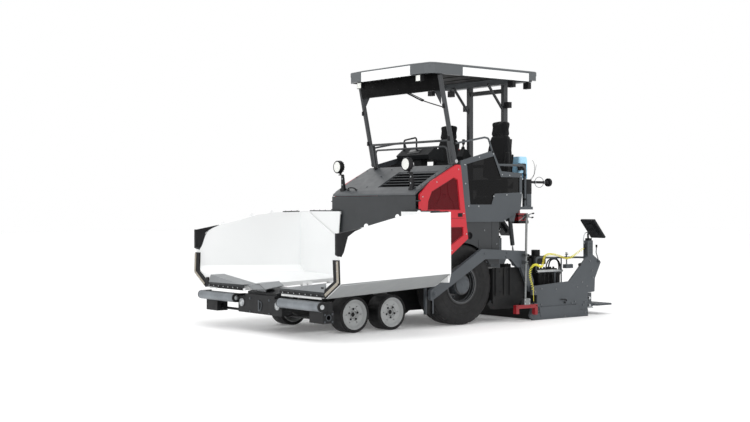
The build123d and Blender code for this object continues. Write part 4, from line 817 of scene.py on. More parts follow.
# Hood: lenses, bezels, fins and bolts of the two lamps, and bolts along the slope
lamp_y, lamp_z = 0.748, 2.148
lens_r, bezel_r, fin_r = 0.0735, 0.0785, 0.089
for side, way in SIDES.items():
    y = way * lamp_y
    lens = Piece(f"hood_lamp_lens_{side}")
    rows = []
    for i in range(1, 9):
        r = lens_r * i / 8
        x = 0.8865 + 0.004 * cos(pi / 2 * i / 8)
        rows.append([lens.vert(x, y + r * c, lamp_z + r * s) for c, s in circle(48)])
    tip = lens.vert(0.8905, y, lamp_z)
    for j in range(48):
        lens.mesh.faces.new((tip, rows[0][j], rows[0][(j + 1) % 48]))
    lens.skin(rows)
    for k in range(7):
        z = lamp_z - 0.054 + 0.018 * k
        half = (0.070**2 - (z - lamp_z) ** 2) ** 0.5
        lens.tube([(0.8895, y - half, z), (0.8908, y, z), (0.8895, y + half, z)], 0.0011, 6, 3)
    lens.done("lens", "hood", "lamp_black")

    bezel = Piece(f"hood_lamp_bezel_{side}")
    bezel.ring((0.886, y, lamp_z), (1, 0, 0), bezel_r, 0.0045, 56, 8)
    for c, s in circle(4, pi / 4):
        bolt_y, bolt_z = y + (bezel_r + 0.002) * c, lamp_z + (bezel_r + 0.002) * s
        bezel.bolt(0.888, bolt_y, bolt_z, (1, 0, 0), 0.004, 0.0015, False)
    bezel.done("lamp", "hood", "lamp_black")

    fins = Piece(f"hood_lamp_fins_{side}")
    for k in range(16):
        a = 2 * pi * k / 16
        turn = Matrix.Rotation(a, 4, "X")
        middle = Vector((0.832, y - fin_r * sin(a), lamp_z + fin_r * cos(a)))
        fins.block(
            middle - Vector((0.016, 0.002, 0.006)), middle + Vector((0.016, 0.002, 0.002)), 0.0008, turn
        )
    fins.done("lamp", "hood", "lamp_black")

    foot = Piece(f"hood_lamp_bolts_{side}")
    for dy in (-0.033, 0.033):
        foot.bolt(0.772, y + dy, 1.8255, (0.5, 0, 0.87), 0.006, 0.004)
    for z in (1.90, 1.985):
        foot.bolt(0.7922, y, z, (1, 0, 0), 0.008, 0.005)
    foot.done("bright", "hood", "bright_steel")

hood_bolts = Piece("hood_bolts")
for x, z in ((0.70, 1.8655), (0.45, 2.011), (0.26, 2.112)):
    for y in (-0.86, -0.30, 0.845):
        hood_bolts.bolt(x, y, z - 0.0005, (0.5, 0, 0.86), 0.008, 0.003)
hood_bolts.done("grey", "hood", "anthracite_paint")

# Side doors: perforated sheets and seals in both windows, seam, parts behind them, bolts and latch
upper_glass = [
    (0.20, 1.972), (0.582, 1.786), (0.641, 1.658), (0.651, 1.553), (0.090, 1.553), (0.138, 1.943)
]
lower_glass = [(0.692, 1.312), (0.039, 1.312), (0.034, 1.210), (0.243, 1.088), (0.692, 1.088)]
door_bolt_places = [(0.745, 1.72), (0.745, 1.50), (0.745, 1.35), (0.745, 1.02), (0.50, 1.915)]
door_bolt_places += [(0.115, 2.09), (0.02, 1.50), (-0.03, 1.225), (0.235, 1.01), (0.50, 1.01)]
door_face = 0.932
for side, way in SIDES.items():
    door = f"door_{side}"
    sheet = Piece(f"door_sheets_{side}", way)
    for outline in (upper_glass, lower_glass):
        sheet.prism(outline, 0.9161, 0.9185, "Y", 0.0004)
    sheet.done("mesh", door, "red_paint", smooth=False)

    seal = Piece(f"door_seals_{side}", way)
    for outline in (upper_glass, lower_glass):
        seal.tube([(x, 0.9178, z) for x, z in outline + outline[:1]], 0.004, 8, 2, False)
    seal.done("door_edge", door, "red_paint")

    seam = Piece(f"door_seam_{side}", way)
    seam.block((0.0, door_face - 0.0006, 1.434), (0.782, door_face + 0.0006, 1.4375), 0.0002)
    seam.done("frame", door, "red_paint")

    behind = Piece(f"door_inner_parts_{side}", way)
    inner_y = 0.9195
    rear_hose = [(0.30, 1.90), (0.30, 1.72), (0.18, 1.66), (0.18, 1.56)]
    front_hose = [(0.42, 1.84), (0.40, 1.70), (0.52, 1.62)]
    for line in (rear_hose, front_hose):
        behind.tube([(x, inner_y, z) for x, z in line], 0.003, 8, 5)
    behind.ring((0.36, inner_y, 1.74), (0, 1, 0), 0.022, 0.003, 24, 6)
    behind.done("mesh", door, "red_paint")

    fixings = Piece(f"door_fixings_{side}", way)
    fixings.side_bolts(door_bolt_places, door_face, 0.006, 0.003)
    fixings.done("bright", door, "bright_steel")

    grip = Piece(f"door_latch_{side}", way)
    grip.block((0.045, 0.9315, 1.455), (0.125, 0.9355, 1.505), 0.0015)
    grip.block((0.055, 0.934, 1.470), (0.100, 0.940, 1.492), 0.0025)
    grip.peg(0.112, 1.481, 0.935, 0.939, 0.006, None, 16, 0.0008)
    grip.done("rubber", door, "rubber_black")

# Guards: bolts and seals round the windows, rail clamps, post feet, round ports and panel bolts
guard_bolt_places = [(-0.024, 2.155), (-0.288, 2.262), (-0.552, 2.315), (-0.722, 2.033), (-0.864, 2.025)]
guard_bolt_places += [(-1.085, 2.012), (-1.085, 1.782), (-0.809, 1.755), (-0.560, 1.735), (-0.278, 1.597)]
guard_bolt_places += [(-0.094, 1.600), (-0.035, 1.902)]
window_line = [(-0.060, 2.165), (-0.560, 2.285), (-0.700, 2.000), (-1.060, 2.000)]
window_line += [(-1.060, 1.790), (-0.580, 1.770), (-0.520, 1.620), (-0.125, 1.620)]
for side, way in SIDES.items():
    guard = Piece(f"guard_bolts_{side}", way)
    guard.side_bolts(guard_bolt_places, 0.905, 0.0068, 0.003)
    guard.done("bright", "chassis", "bright_steel")

    seal = Piece(f"guard_seal_{side}", way)
    seal.tube([(x, 0.9005, z) for x, z in window_line + window_line[:1]], 0.004, 8, 2, False)
    seal.done("rubber", "chassis", "rubber_black")

    clamps = Piece(f"rail_clamps_{side}", way)
    for x, z in ((0.149, 2.434), (-0.545, 2.345)):
        clamps.rod((x - 0.012, 0.893, z), (x + 0.012, 0.893, z), 0.019, 0.019, 24, 0.002)
    clamps.rod((-1.2095, 0.866, 2.02), (-1.209, 0.866, 2.05), 0.021, None, 24, 0.002)
    clamps.rod((-1.207, 0.866, 1.68), (-1.207, 0.866, 1.71), 0.021, None, 24, 0.002)
    clamps.done("frame", "chassis", "frame_paint")

    post_foot = Piece(f"post_foot_cap_{side}", way)
    post_foot.peg(0.127, 2.197, 0.9032, 0.909, 0.026, 0.023, 32, 0.002)
    post_foot.side_bolts([(0.127, 2.197)], 0.908, 0.010, 0.003, False)
    post_foot.done("light_grey", "chassis", "bright_steel")

    port = Piece(f"round_port_{side}", way)
    port_x, port_z = -0.128, 1.20
    port.ring((port_x, 0.8885, port_z), (0, 1, 0), 0.046, 0.005, 40, 10)
    port.peg(port_x, port_z, 0.868, 0.874, 0.045, None, 40, 0.0)
    places = [(port_x + 0.030 * c, port_z + 0.030 * s) for c, s in circle(6)]
    port.side_bolts(places, 0.874, 0.004, 0.003, False)
    port.done("rubber", "chassis", "rubber_black")

    panel = Piece(f"rear_panel_bolts_{side}", way)
    panel.side_bolts(((-0.40, 1.27), (-0.63, 1.08)), 0.888, 0.008, 0.004)
    panel.done("fixing", "chassis", "bright_steel")

# Windscreen and roof: wiper, near-black sheets painted as shade in the header and under the roof, corner
# gussets and post hinges
wiper = Piece("wiper")
wiper.rod((0.385, 0.0, 3.215), (0.358, 0.0, 3.208), 0.016, 0.013, 20, 0.002)
bends = [
    (0.360, 0.0, 3.208), (0.352, 0.07, 3.170), (0.336, 0.16, 3.135), (0.318, 0.44, 3.020),
    (0.300, 0.80, 2.925),
]
wiper.tube(bends, 0.0075, 8, 5)
wiper.tube([(0.345, 0.12, 3.175), (0.338, 0.20, 3.140), (0.318, 0.46, 3.035)], 0.0065, 8, 5)
wiper.block((0.320, 0.15, 3.070), (0.334, 0.45, 3.086), 0.001, Matrix.Rotation(radians(-22), 4, "X"))
wiper.done("rubber", "chassis", "rubber_black")

# Two near-black plates over the windscreen header: painted shade
header = Piece("header_shade_sheet")
front_plate = [(0.4105, 3.3465), (0.3655, 3.1405), (0.3685, 3.1395), (0.4135, 3.3465)]
rear_plate = [(0.3385, 3.1400), (0.3840, 3.3465), (0.3860, 3.3465), (0.3405, 3.1395)]
for outline in (front_plate, rear_plate):
    header.prism(outline, -0.836, 0.836, "Y", 0.0004)
header.done("black", "chassis", "grey_paint")

# Near-black sheets and ribs under the roof: painted shade
shade_sheet = Piece("roof_shade_sheet")
shade_sheet.block((0.522, -0.80, 3.428), (0.592, 0.80, 3.4335), 0.001)
shade_sheet.block((0.300, -0.850, 3.3450), (0.522, 0.850, 3.3478), 0.001)
shade_sheet.block((-1.16, -0.850, 3.428), (0.298, 0.850, 3.4335), 0.001)
for x in (-0.85, -0.50, -0.15):
    shade_sheet.block((x - 0.012, -0.845, 3.420), (x + 0.012, 0.845, 3.430), 0.002)
shade_sheet.done("black", "chassis", "grey_paint")
for side, way in SIDES.items():
    gusset = Piece(f"header_gusset_{side}", way)
    gusset.prism([(0.835, 3.14), (0.70, 3.14), (0.835, 2.95)], 0.338, 0.346, "X", 0.001)
    gusset.done("charcoal", "chassis", "grey_paint")

    hinge = Piece(f"post_hinges_{side}", way)
    for z in (2.50, 2.93):
        x = 0.125 + (z - 2.172) * 0.2202
        hinge.block((x + 0.020, 0.850, z - 0.03), (x + 0.048, 0.886, z + 0.03), 0.004)
        hinge.rod((x + 0.046, 0.868, z - 0.026), (x + 0.046, 0.868, z + 0.026), 0.010, None, 16, 0.001)
    hinge.done("rubber", "chassis", "rubber_black")

# Canopy: work lamp lenses, fascia bolts and roof seams
lamp_places = [(0.545, 0.64), (-1.315, 0.80), (-0.96, 0.85)]
for side, way in SIDES.items():
    lens = Piece(f"work_lamp_lenses_{side}", way)
    for x, y in lamp_places:
        outward = 1 if x > 0 else -1
        face = x + outward * 0.0303
        low, high = sorted((face, face + outward * 0.004))
        lens.block((low, y - 0.042, 3.262), (high, y + 0.042, 3.338), 0.0018)
        for k in range(4):
            z = 3.276 + 0.016 * k
            lens.block((low, y - 0.038, z - 0.0012), (high + 0.0006, y + 0.038, z + 0.0012), 0.0004)
    lens.done("lens", "chassis", "lamp_black")

    trim = Piece(f"fascia_bolts_{side}", way)
    trim.side_bolts([(x, 3.385) for x in (-0.05, -0.45, -0.85, -1.20)], 0.9095, 0.006, 0.002)
    trim.done("light_grey", "chassis", "white_paint")

seams = Piece("canopy_seams")
for x in (-1.0, -0.4, 0.2):
    seams.block((x - 0.006, -0.86, 3.4985), (x + 0.006, 0.86, 3.4998), 0.0004)
seams.done("grey", "chassis", "grey_paint")


# Rear wheels: tyre with a zigzag tread, ribs and rings on its wall, nuts, hub cap, rim rings and valve
def tyre_radius(y):
    """Half profile across the tread, y from the tyre's middle"""
    t = min(1.0, abs(y) / tyre_half)
    crown_drop, shoulder_drop, shoulder = 0.006, 0.060, 0.80
    return rear_r - crown_drop * t**2 - shoulder_drop * max(0.0, (t - shoulder) / (1 - shoulder)) ** 2.2


def groove_depth(y, step):
    """How deep the tread is cut, y across it and step round it"""
    zig = 0.008 * (2 * abs((step / 6) % 2 - 1) - 1)
    if any(abs(y - groove - zig) < 0.0052 for groove in (-0.105, -0.037, 0.037, 0.105)):
        return 0.009
    return 0.006 if abs(y) > 0.128 and step % 12 in (0, 1) else 0.0


tyre_middle = 0.7075
rim_face = 0.700
hub_face = 0.888
wall = [
    (-0.1480, 0.262), (-0.1560, 0.272), (-0.1600, 0.292), (-0.1665, 0.300), (-0.1670, 0.306),
    (-0.1655, 0.312),
]
wall += [(-0.1730, 0.345), (-0.1790, 0.385), (-0.1815, 0.425), (-0.1822, 0.455), (-0.1822, 0.470)]
across_tread = [-0.1815 + 0.363 * i / 66 for i in range(67)]
profile = wall + [(y, None) for y in across_tread] + [(-y, r) for y, r in wall[::-1]]
inner_profile = [(0.150, 0.256), (-0.150, 0.256)]
for side, way in SIDES.items():
    wheel = f"rear_wheel_{side}"
    tyre = Piece(f"rear_tyre_{side}", way)
    rows = []
    for y, r in profile + inner_profile:
        row = []
        for step, (c, s) in enumerate(circle(288)):
            radius = r or tyre_radius(y) - groove_depth(y, step)
            row.append(tyre.vert(radius * c, tyre_middle + y, rear_r + radius * s))
        rows.append(row)
    tyre.skin(rows, True)
    tyre.done("tyre", wheel, "tyre_black", replaces=(f"rear_tyre_{side}",))

    rib = Piece(f"rear_tyre_wall_ribs_{side}", way)
    for k in range(48):
        a = 2 * pi * k / 48
        foot = (0.325 * cos(a), tyre_middle + 0.1687, rear_r + 0.325 * sin(a))
        tip = (0.342 * cos(a + 0.012), tyre_middle + 0.1717, rear_r + 0.342 * sin(a + 0.012))
        rib.rod(foot, tip, 0.0022, None, 6)
    rib.ring((0, tyre_middle + 0.1800, rear_r), (0, 1, 0), 0.400, 0.0028, 96, 6)
    rib.ring((0, tyre_middle + 0.1722, rear_r), (0, 1, 0), 0.346, 0.0022, 96, 6)
    rib.done("tyre", wheel, "tyre_black")

    nuts = Piece(f"rear_wheel_nuts_{side}", way)
    places = [(0.172 * c, rear_r + 0.172 * s) for c, s in circle(10, 0.3)]
    nuts.side_bolts(places, rim_face + 0.0005, 0.014, 0.014)
    nuts.done("grey", wheel, "grey_paint")

    cap = Piece(f"hub_cap_bolts_{side}", way)
    places = [(0.112 * c, rear_r + 0.112 * s) for c, s in circle(6, 0.5)]
    cap.side_bolts(places, hub_face + 0.0002, 0.0085, 0.005)
    cap.ring((0, hub_face + 0.0005, rear_r), (0, 1, 0), 0.092, 0.0018, 56, 6)
    cap.peg(0, rear_r, hub_face, hub_face + 0.004, 0.022, 0.020, 28, 0.001)
    cap.peg(0, rear_r, hub_face + 0.0005, hub_face + 0.0015, 0.1185, 0.1180, 56, 0.0004)
    cap.peg(0, rear_r, rim_face + 0.005, hub_face - 0.0105, 0.1358, None, 56)
    cap.done("grey", wheel, "grey_paint")

    rings = Piece(f"rear_rim_rings_{side}", way)
    for r, y in ((0.246, 0.866), (0.236, 0.848), (0.229, 0.800)):
        rings.ring((0, y, rear_r), (0, 1, 0), r, 0.003, 72, 8)
    rings.done("fixing", wheel, "grey_paint")

    valve = Piece(f"rear_valve_{side}", way)
    stem = [(x, rim_face + out, rear_r) for x, out in ((0.214, 0.01), (0.224, 0.03), (0.236, 0.052))]
    valve.tube(stem, 0.0045, 8, 4)
    tip_start, tip_end = (0.2355, rim_face + 0.050, rear_r), (0.241, rim_face + 0.062, rear_r)
    valve.rod(tip_start, tip_end, 0.0065, None, 12, 0.001)
    valve.done("bright", wheel, "bright_steel")

# Front wheels: studs round the hub and raised bands on the tyre's wall
front_rim_face = 0.763
for side, way in SIDES.items():
    for pair, x, start in (("front", 1.752, 0.31), ("rear", 1.148, 0.9)):
        wheel = f"wheel_{pair}_pair_{side}"
        studs = Piece(f"front_wheel_studs_{pair}_{side}", way)
        stud_places = [(x + 0.070 * c, front_r + 0.070 * s) for c, s in circle(5, start)]
        studs.side_bolts(stud_places, front_rim_face + 0.0005, 0.0095, 0.009)
        studs.ring((x, front_rim_face + 0.0008, front_r), (0, 1, 0), 0.047, 0.002, 40, 6)
        studs.done("frame", wheel, "frame_paint")

        bands = Piece(f"front_tyre_bands_{pair}_{side}", way)
        for r, y in ((0.205, 0.7996), (0.214, 0.7992)):
            bands.ring((x, y, front_r), (0, 1, 0), r, 0.0016, 72, 6)
        bands.done("tyre", wheel, "tyre_black")

# Tow arms, lift eyes and tow point guides: bolts and washers
for side, way in SIDES.items():
    arm = Piece(f"tow_arm_bolts_{side}", way)
    arm.side_bolts(((-0.30, 0.955), (-0.985, 0.78), (-0.707, 0.905), (-0.72, 0.955)), 1.0003, 0.010, 0.005)
    arm.peg(0.60, 0.445, 1.0002, 1.0062, 0.040, 0.038, 36, 0.002)
    arm.side_bolts([(0.60, 0.445)], 1.006, 0.016, 0.008)
    arm.done("grey", "screed", "grey_paint")

    pins = Piece(f"lift_eye_washers_{side}", way)
    pins.peg(-1.03, 0.80, 0.9015, 0.9035, 0.024, None, 28, 0.001)
    pins.done("bright", "screed", "bright_steel")

    guide = Piece(f"tow_guide_bolts_{side}", way)
    guide.side_bolts([(x, z) for x in (0.540, 0.660) for z in (0.215, 0.60)], 0.9002, 0.010, 0.006)
    guide.done("grey", "chassis", "grey_paint")

# Sensor mast: clamp knobs, scale rings, foot bolts and the faces of the sensors
mast = Piece("mast_knobs")
for z in (0.82, 0.92):
    for c, s in circle(6):
        mast.rod((-1.035, 1.107, z), (-1.035 + 0.016 * c, 1.107, z + 0.016 * s), 0.0055, 0.005, 10, 0.001)
    mast.peg(-1.035, z, 1.100, 1.114, 0.012, 0.011, 18, 0.0015)
for x, z in ((-1.163, 1.496), (-1.148, 1.440)):
    mast.rod((x, mast_y, z), (x - 0.03, mast_y, z + 0.004), 0.0115, 0.0105, 18, 0.002)
mast.done("rubber", "screed", "rubber_black")

scale = Piece("mast_scale_rings")
for k in range(14):
    z = 0.40 + 0.07 * k
    scale.ring((-1.022 - 0.028 * (z - 0.29) / 1.21, mast_y, z), (-0.023, 0, 1), 0.0161, 0.0007, 28, 5)
scale.side_bolts([(x, z) for x in (-1.078, -0.990) for z in (0.252, 0.305)], 1.0822, 0.007, 0.004)
scale.done("bright", "screed", "bright_steel")

sensor = Piece("sensor_faces")
for x, foot in ((-1.214, 0.088), (-0.848, 0.116)):
    sensor.rod((x, mast_y, foot - 0.0005), (x, mast_y, foot - 0.003), 0.018, 0.016, 28, 0.001)
sensor.peg(-1.10, 0.21, 1.0782, 1.0800, 0.006, None, 16, 0.0005)
sensor.side_bolts([(x, 0.215) for x in (-1.225, -0.835)], 1.078, 0.005, 0.003)
sensor.done("rubber", "screed", "rubber_black")

# Grey faces on the tow point guides
for side, way in SIDES.items():
    face = Piece(f"tow_guide_faces_{side}", way)
    for x in (0.5245, 0.6755):
        face.block((x - 0.0008, 0.8715, 0.185), (x + 0.0008, 0.898, 0.635), 0.0004)
    for x in (0.54, 0.66):
        face.block((x - 0.013, 0.9002, 0.185), (x + 0.013, 0.9018, 0.635), 0.0004)
    face.done("grey", "chassis", "frame_paint")

# Screed extensions: guide bar skin, valve blocks and hoses behind the side plates
for side, way in SIDES.items():
    ext = f"screed_extension_{side}"
    skin_bar = Piece(f"handle_bar_skin_{side}", way)
    skin_bar.rod((-1.458, 0.85, 0.6720), (-1.976, 0.85, 0.6675), 0.0215, None, 28, 0.002)
    skin_bar.done("bright", ext, "frame_paint")

    valve = Piece(f"extension_valves_{side}", way)
    valve.block((-2.04, 0.62, 0.382), (-1.86, 0.76, 0.640), 0.008)
    valve.block((-1.86, 0.64, 0.400), (-1.60, 0.75, 0.630), 0.008)
    valve.block((-2.00, 0.66, 0.635), (-1.66, 0.74, 0.700), 0.006)
    for k in range(4):
        x = -1.63 - 0.10 * k
        valve.peg(x, 0.44, 0.70, 0.770, 0.022, 0.019, 20, 0.002)
        hose = [
            (x, 0.765, 0.44), (x - 0.01, 0.80, 0.46), (-1.67 - 0.09 * k, 0.80, 0.56),
            (-1.70 - 0.08 * k, 0.755, 0.625),
        ]
        valve.tube(hose, 0.009, 10, 6)
    for k in range(5):
        x = -1.96 + 0.065 * k
        valve.rod((x, 0.70, 0.700), (x, 0.70, 0.722), 0.016, 0.013, 18, 0.002)
        valve.side_bolts([(x, 0.672)], 0.7405, 0.009, 0.005, False)
    thick_hose = [
        (-1.83, 0.695), (-1.84, 0.80), (-1.93, 0.84), (-2.03, 0.82), (-2.06, 0.70), (-2.035, 0.62)
    ]
    valve.tube([(x, 0.725, z) for x, z in thick_hose], 0.011, 12, 8)
    thin_hose = [(-1.78, 0.78), (-1.86, 0.845), (-2.00, 0.85), (-2.10, 0.70), (-2.035, 0.56)]
    valve.tube([(-1.77, 0.730, 0.695)] + [(x, 0.735, z) for x, z in thin_hose], 0.009, 12, 8)
    valve.done("rubber", ext, "rubber_black")

# Screed extensions: bolts on the side plates and end plates, handle, slots and rear clamps
plate_bolts = [(-1.407, 0.436), (-2.472, 0.66), (-2.25, 0.50), (-2.147, 0.43), (-2.35, 0.44)]
plate_bolts += [(-2.485, 0.559), (-1.70, 0.42), (-2.42, 0.80), (-1.28, 0.40)]
end_bolts = [(-1.396, 0.215), (-2.024, 0.205), (-2.096, 0.225), (-1.34, 0.20), (-1.34, 0.12)]
end_bolts += [(-2.268, 0.167), (-1.879, 0.025), (-2.30, 0.06), (-2.30, 0.21)]
plate_face, end_face = 0.9942, 1.0022
for side, way in SIDES.items():
    ext = f"screed_extension_{side}"
    bolts = Piece(f"side_plate_bolts_{side}", way)
    bolts.side_bolts(plate_bolts, plate_face, 0.0095, 0.005)
    bolts.side_bolts(end_bolts, end_face, 0.0075, 0.005)
    bolts.done("fixing", ext, "bright_steel")

    grip = Piece(f"end_plate_handle_{side}", way)
    bends = [(-1.79, 1.0002, 0.262), (-1.81, 1.018, 0.272), (-1.90, 1.018, 0.262), (-1.92, 1.0002, 0.245)]
    grip.tube(bends, 0.007, 10, 5)
    grip.peg(-1.879, 0.222, 1.0002, 1.010, 0.016, 0.014, 24, 0.001)
    grip.done("rubber", ext, "rubber_black")

    slots = Piece(f"end_plate_slots_{side}", way)
    for x, z, w, h in (
        (-1.396, 0.170, 0.026, 0.030), (-2.05, 0.168, 0.022, 0.034), (-2.10, 0.172, 0.022, 0.034)
    ):
        slots.block((x - w / 2, 1.0020, z - h / 2), (x + w / 2, 1.0030, z + h / 2), 0.0004)
    turn = Matrix.Rotation(radians(20), 4, "Y")
    slots.block((-2.225, 0.9942, 0.730), (-2.165, 0.9950, 0.775), 0.0004, turn)
    slots.done("frame", ext, "frame_paint")

    clamps = Piece(f"end_plate_rear_clamps_{side}", way)
    for z in (0.26, 0.15):
        clamps.rod((-2.43, 0.975, z), (-2.405, 0.975, z), 0.022, 0.020, 24, 0.002)
        clamps.ring((-2.4345, 0.975, z), (1, 0, 0), 0.018, 0.004, 24, 8)
        clamps.rod((-2.455, 0.975, z), (-2.43, 0.975, z), 0.009, None, 14, 0.001)
    clamps.tube([(-2.372, 0.96, 0.125), (-2.43, 0.98, 0.115), (-2.50, 0.98, 0.118)], 0.011, 10, 5)
    clamps.done("bright", ext, "bright_steel")

# Screed extensions: key panels, displays, crank and the small parts on the rail
display_out = Vector((-0.739, 0, 0.673))
display_along = Vector((-0.673, 0, -0.739))
display_turn = Matrix.Rotation(-atan2(0.264, 0.240), 4, "Y")
for side, way in SIDES.items():
    ext = f"screed_extension_{side}"
    keys = Piece(f"control_keys_{side}", way)
    for row in range(9):
        for column in range(3):
            y, z = 0.925 + 0.02 * column, 0.90 + 0.02 * row
            keys.rod((-2.3748, y, z), (-2.3712, y, z), 0.0062, 0.0055, 14, 0.0008)
    for row in range(8):
        keys.block((-2.47, 0.9927, 0.90 + 0.022 * row), (-2.40, 0.9943, 0.904 + 0.022 * row), 0.0003)
    keys.done("rubber", ext, "rubber_black")

    face = Piece(f"display_face_{side}")
    middle = Vector((-2.548, way * 0.949, 1.282)) + display_out * 0.0012
    half = Vector((0.160, 0.112, 0.0008))
    face.block(middle - half, middle + half, 0.0006, display_turn)
    face.done("screen", ext, "console_plastic")

    rim = Piece(f"display_keys_{side}")
    for k in range(8):
        for dy in (-0.098, 0.098):
            foot = middle + display_out * 0.0006 + display_along * (-0.12 + 0.034 * k) + Vector((0, dy, 0))
            rim.rod(foot, foot + display_out * 0.003, 0.008, 0.007, 16, 0.0008)
    foot = middle + display_along * 0.135
    rim.rod(foot, foot + display_out * 0.016, 0.018, 0.015, 24, 0.002)
    rim.done("rubber", ext, "rubber_black")

    wire = Piece(f"display_wire_{side}", way)
    bends = [
        (-2.50, 1.262), (-2.475, 1.215), (-2.385, 1.215), (-2.355, 1.15), (-2.345, 1.08), (-2.373, 1.055)
    ]
    wire.tube([(x, 0.93, z) for x, z in bends], 0.007, 12, 8)
    wire.done("bright", ext, "bright_steel")

    knob = Piece(f"crank_knob_{side}", way)
    knob.rod((-2.552, 1.002, 0.995), (-2.552, 1.002, 1.035), 0.013, 0.015, 20, 0.004)
    knob.peg(-2.60, 0.79, 1.0098, 1.018, 0.010, 0.008, 18, 0.001)
    knob.done("rubber", ext, "rubber_black")

    gadget = Piece(f"rail_gadget_{side}", way)
    for c, s in circle(5):
        gadget.rod(
            (-2.065, 0.862, 0.925), (-2.065 + 0.020 * c, 0.862 + 0.020 * s, 0.925), 0.006, 0.005, 10, 0.001
        )
    gadget.rod((-2.065, 0.862, 0.910), (-2.065, 0.862, 0.934), 0.010, 0.012, 18, 0.002)
    for x in (-2.135, -2.025):
        gadget.bolt(x, 0.885, 0.7582, (0, 0, 1), 0.007, 0.004)
    gadget.ring((-2.065, 0.859, 0.861), (1, 0, 0), 0.020, 0.006, 24, 8)
    gadget.done("bright", ext, "bright_steel")

# Screed: treads on the walkways and decks, bellows and bolts of the stands
for side, way in SIDES.items():
    steps = Piece(f"walkway_tread_{side}", way)
    steps.tread(-2.93, 0.04, 0.1600, 0.0018, 9, 26)
    steps.done("grey", f"rear_walkway_{side}", "grey_paint")

    stand = Piece(f"screed_stand_parts_{side}", way)
    for k in range(5):
        stand.ring((-1.69, 0.605, 0.895 + 0.014 * k), (0, 0, 1), 0.0625, 0.003, 32, 6)
    for x in (-1.79, -1.59):
        for y in (0.535, 0.675):
            stand.bolt(x, y, 0.880, (0, 0, 1), 0.008, 0.006)
    for y in (0.20, 0.28, 0.64, 0.72):
        stand.bolt(-1.4405, y, 0.7602, (0, 0, 1), 0.009, 0.006)
    stand.done("rubber", "screed", "rubber_black")

    deck = Piece(f"screed_deck_tread_{side}", way)
    deck.tread(-2.29, 0.05, 0.3800, 0.0017, 13, 25)
    deck.done("grey", f"screed_extension_{side}", "grey_paint")


# Seats: sewn cushions, frames, stitching and armrests
def cushion(name, low, high, crown, lean, voxel, cap):
    """A stuffed box, pulled in between its corners and blown up by cloth pressure, with its move capped"""
    low, high = Vector(low), Vector(high)
    middle = (low + high) / 2 + Vector((AXLE, 0, 0))
    half = (high - low) / 2
    boxiness = 7.0
    waist_depth = 0.05
    taper_start = 0.04
    pad = bmesh.new()
    bmesh.ops.create_cube(pad, size=2.0)
    bmesh.ops.subdivide_edges(pad, edges=pad.edges[:], cuts=9, use_grid_fill=True)
    for v in pad.verts:
        p = v.co / sum(abs(c) ** boxiness for c in v.co) ** (1 / boxiness)
        spot = []
        for k in range(3):
            pull = abs(p[k]) if half[k] > min(half) * 1.5 else -crown * 4
            waist = 1 - waist_depth * (1 - p[(k + 1) % 3] ** 2) * (1 - p[(k + 2) % 3] ** 2) * pull
            spot.append(p[k] * waist * half[k])
        v.co = spot
        # The back narrows towards its top
        if name.startswith("seat_back") and v.co.z > taper_start:
            v.co.y *= 1 - 0.27 * min(1.0, (v.co.z - taper_start) / (half.z - taper_start))
    data = bpy.data.meshes.new(name)
    turn = Matrix.Rotation(lean, 4, "Y")
    pad.transform(Matrix.Translation(middle) @ turn)
    pad.to_mesh(data)
    pad.free()
    obj = add_object(name, data)
    remesh = obj.modifiers.new("remesh", "REMESH")
    remesh.mode = "VOXEL"
    remesh.voxel_size = voxel
    depsgraph = bpy.context.evaluated_depsgraph_get()
    fine = bpy.data.meshes.new_from_object(obj.evaluated_get(depsgraph))
    obj.modifiers.clear()
    obj.data = fine
    before = [v.co.copy() for v in fine.vertices]
    cloth = obj.modifiers.new("cloth", "CLOTH")
    cloth.settings.use_pressure = True
    cloth.settings.uniform_pressure_force = 4.0
    cloth.settings.effector_weights.gravity = 0.0
    cloth.settings.quality = 4
    cloth.collision_settings.use_collision = False
    for frame_number in range(1, 16):
        bpy.context.scene.frame_set(frame_number)
    depsgraph = bpy.context.evaluated_depsgraph_get()
    blown = bpy.data.meshes.new_from_object(obj.evaluated_get(depsgraph))
    obj.modifiers.clear()
    bpy.context.scene.frame_set(1)
    for v, start in zip(blown.vertices, before):
        move = v.co - start
        if move.length > cap:
            v.co = start + move.normalized() * cap
    obj.data = blown
    return obj


def seam_groove(obj, places):
    """Presses sewn channels into a pad at places (axis, where, axis the pad faces along, depth, width)"""
    for v in obj.data.vertices:
        for axis, where, face_axis, depth, width in places:
            off = abs(v.co[axis] - where)
            if off < width * 3:
                centre = sum((Vector(c) for c in obj.bound_box), Vector()) / 8
                if v.co[face_axis] > centre[face_axis]:
                    v.co[face_axis] -= depth * exp(-((off / width) ** 2))


def finish_pad(obj):
    data = obj.data
    data.polygons.foreach_set("use_smooth", [True] * len(data.polygons))
    data.materials.clear()
    data.materials.append(M["fabric"])
    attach(obj, "chassis")
    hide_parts("seats")


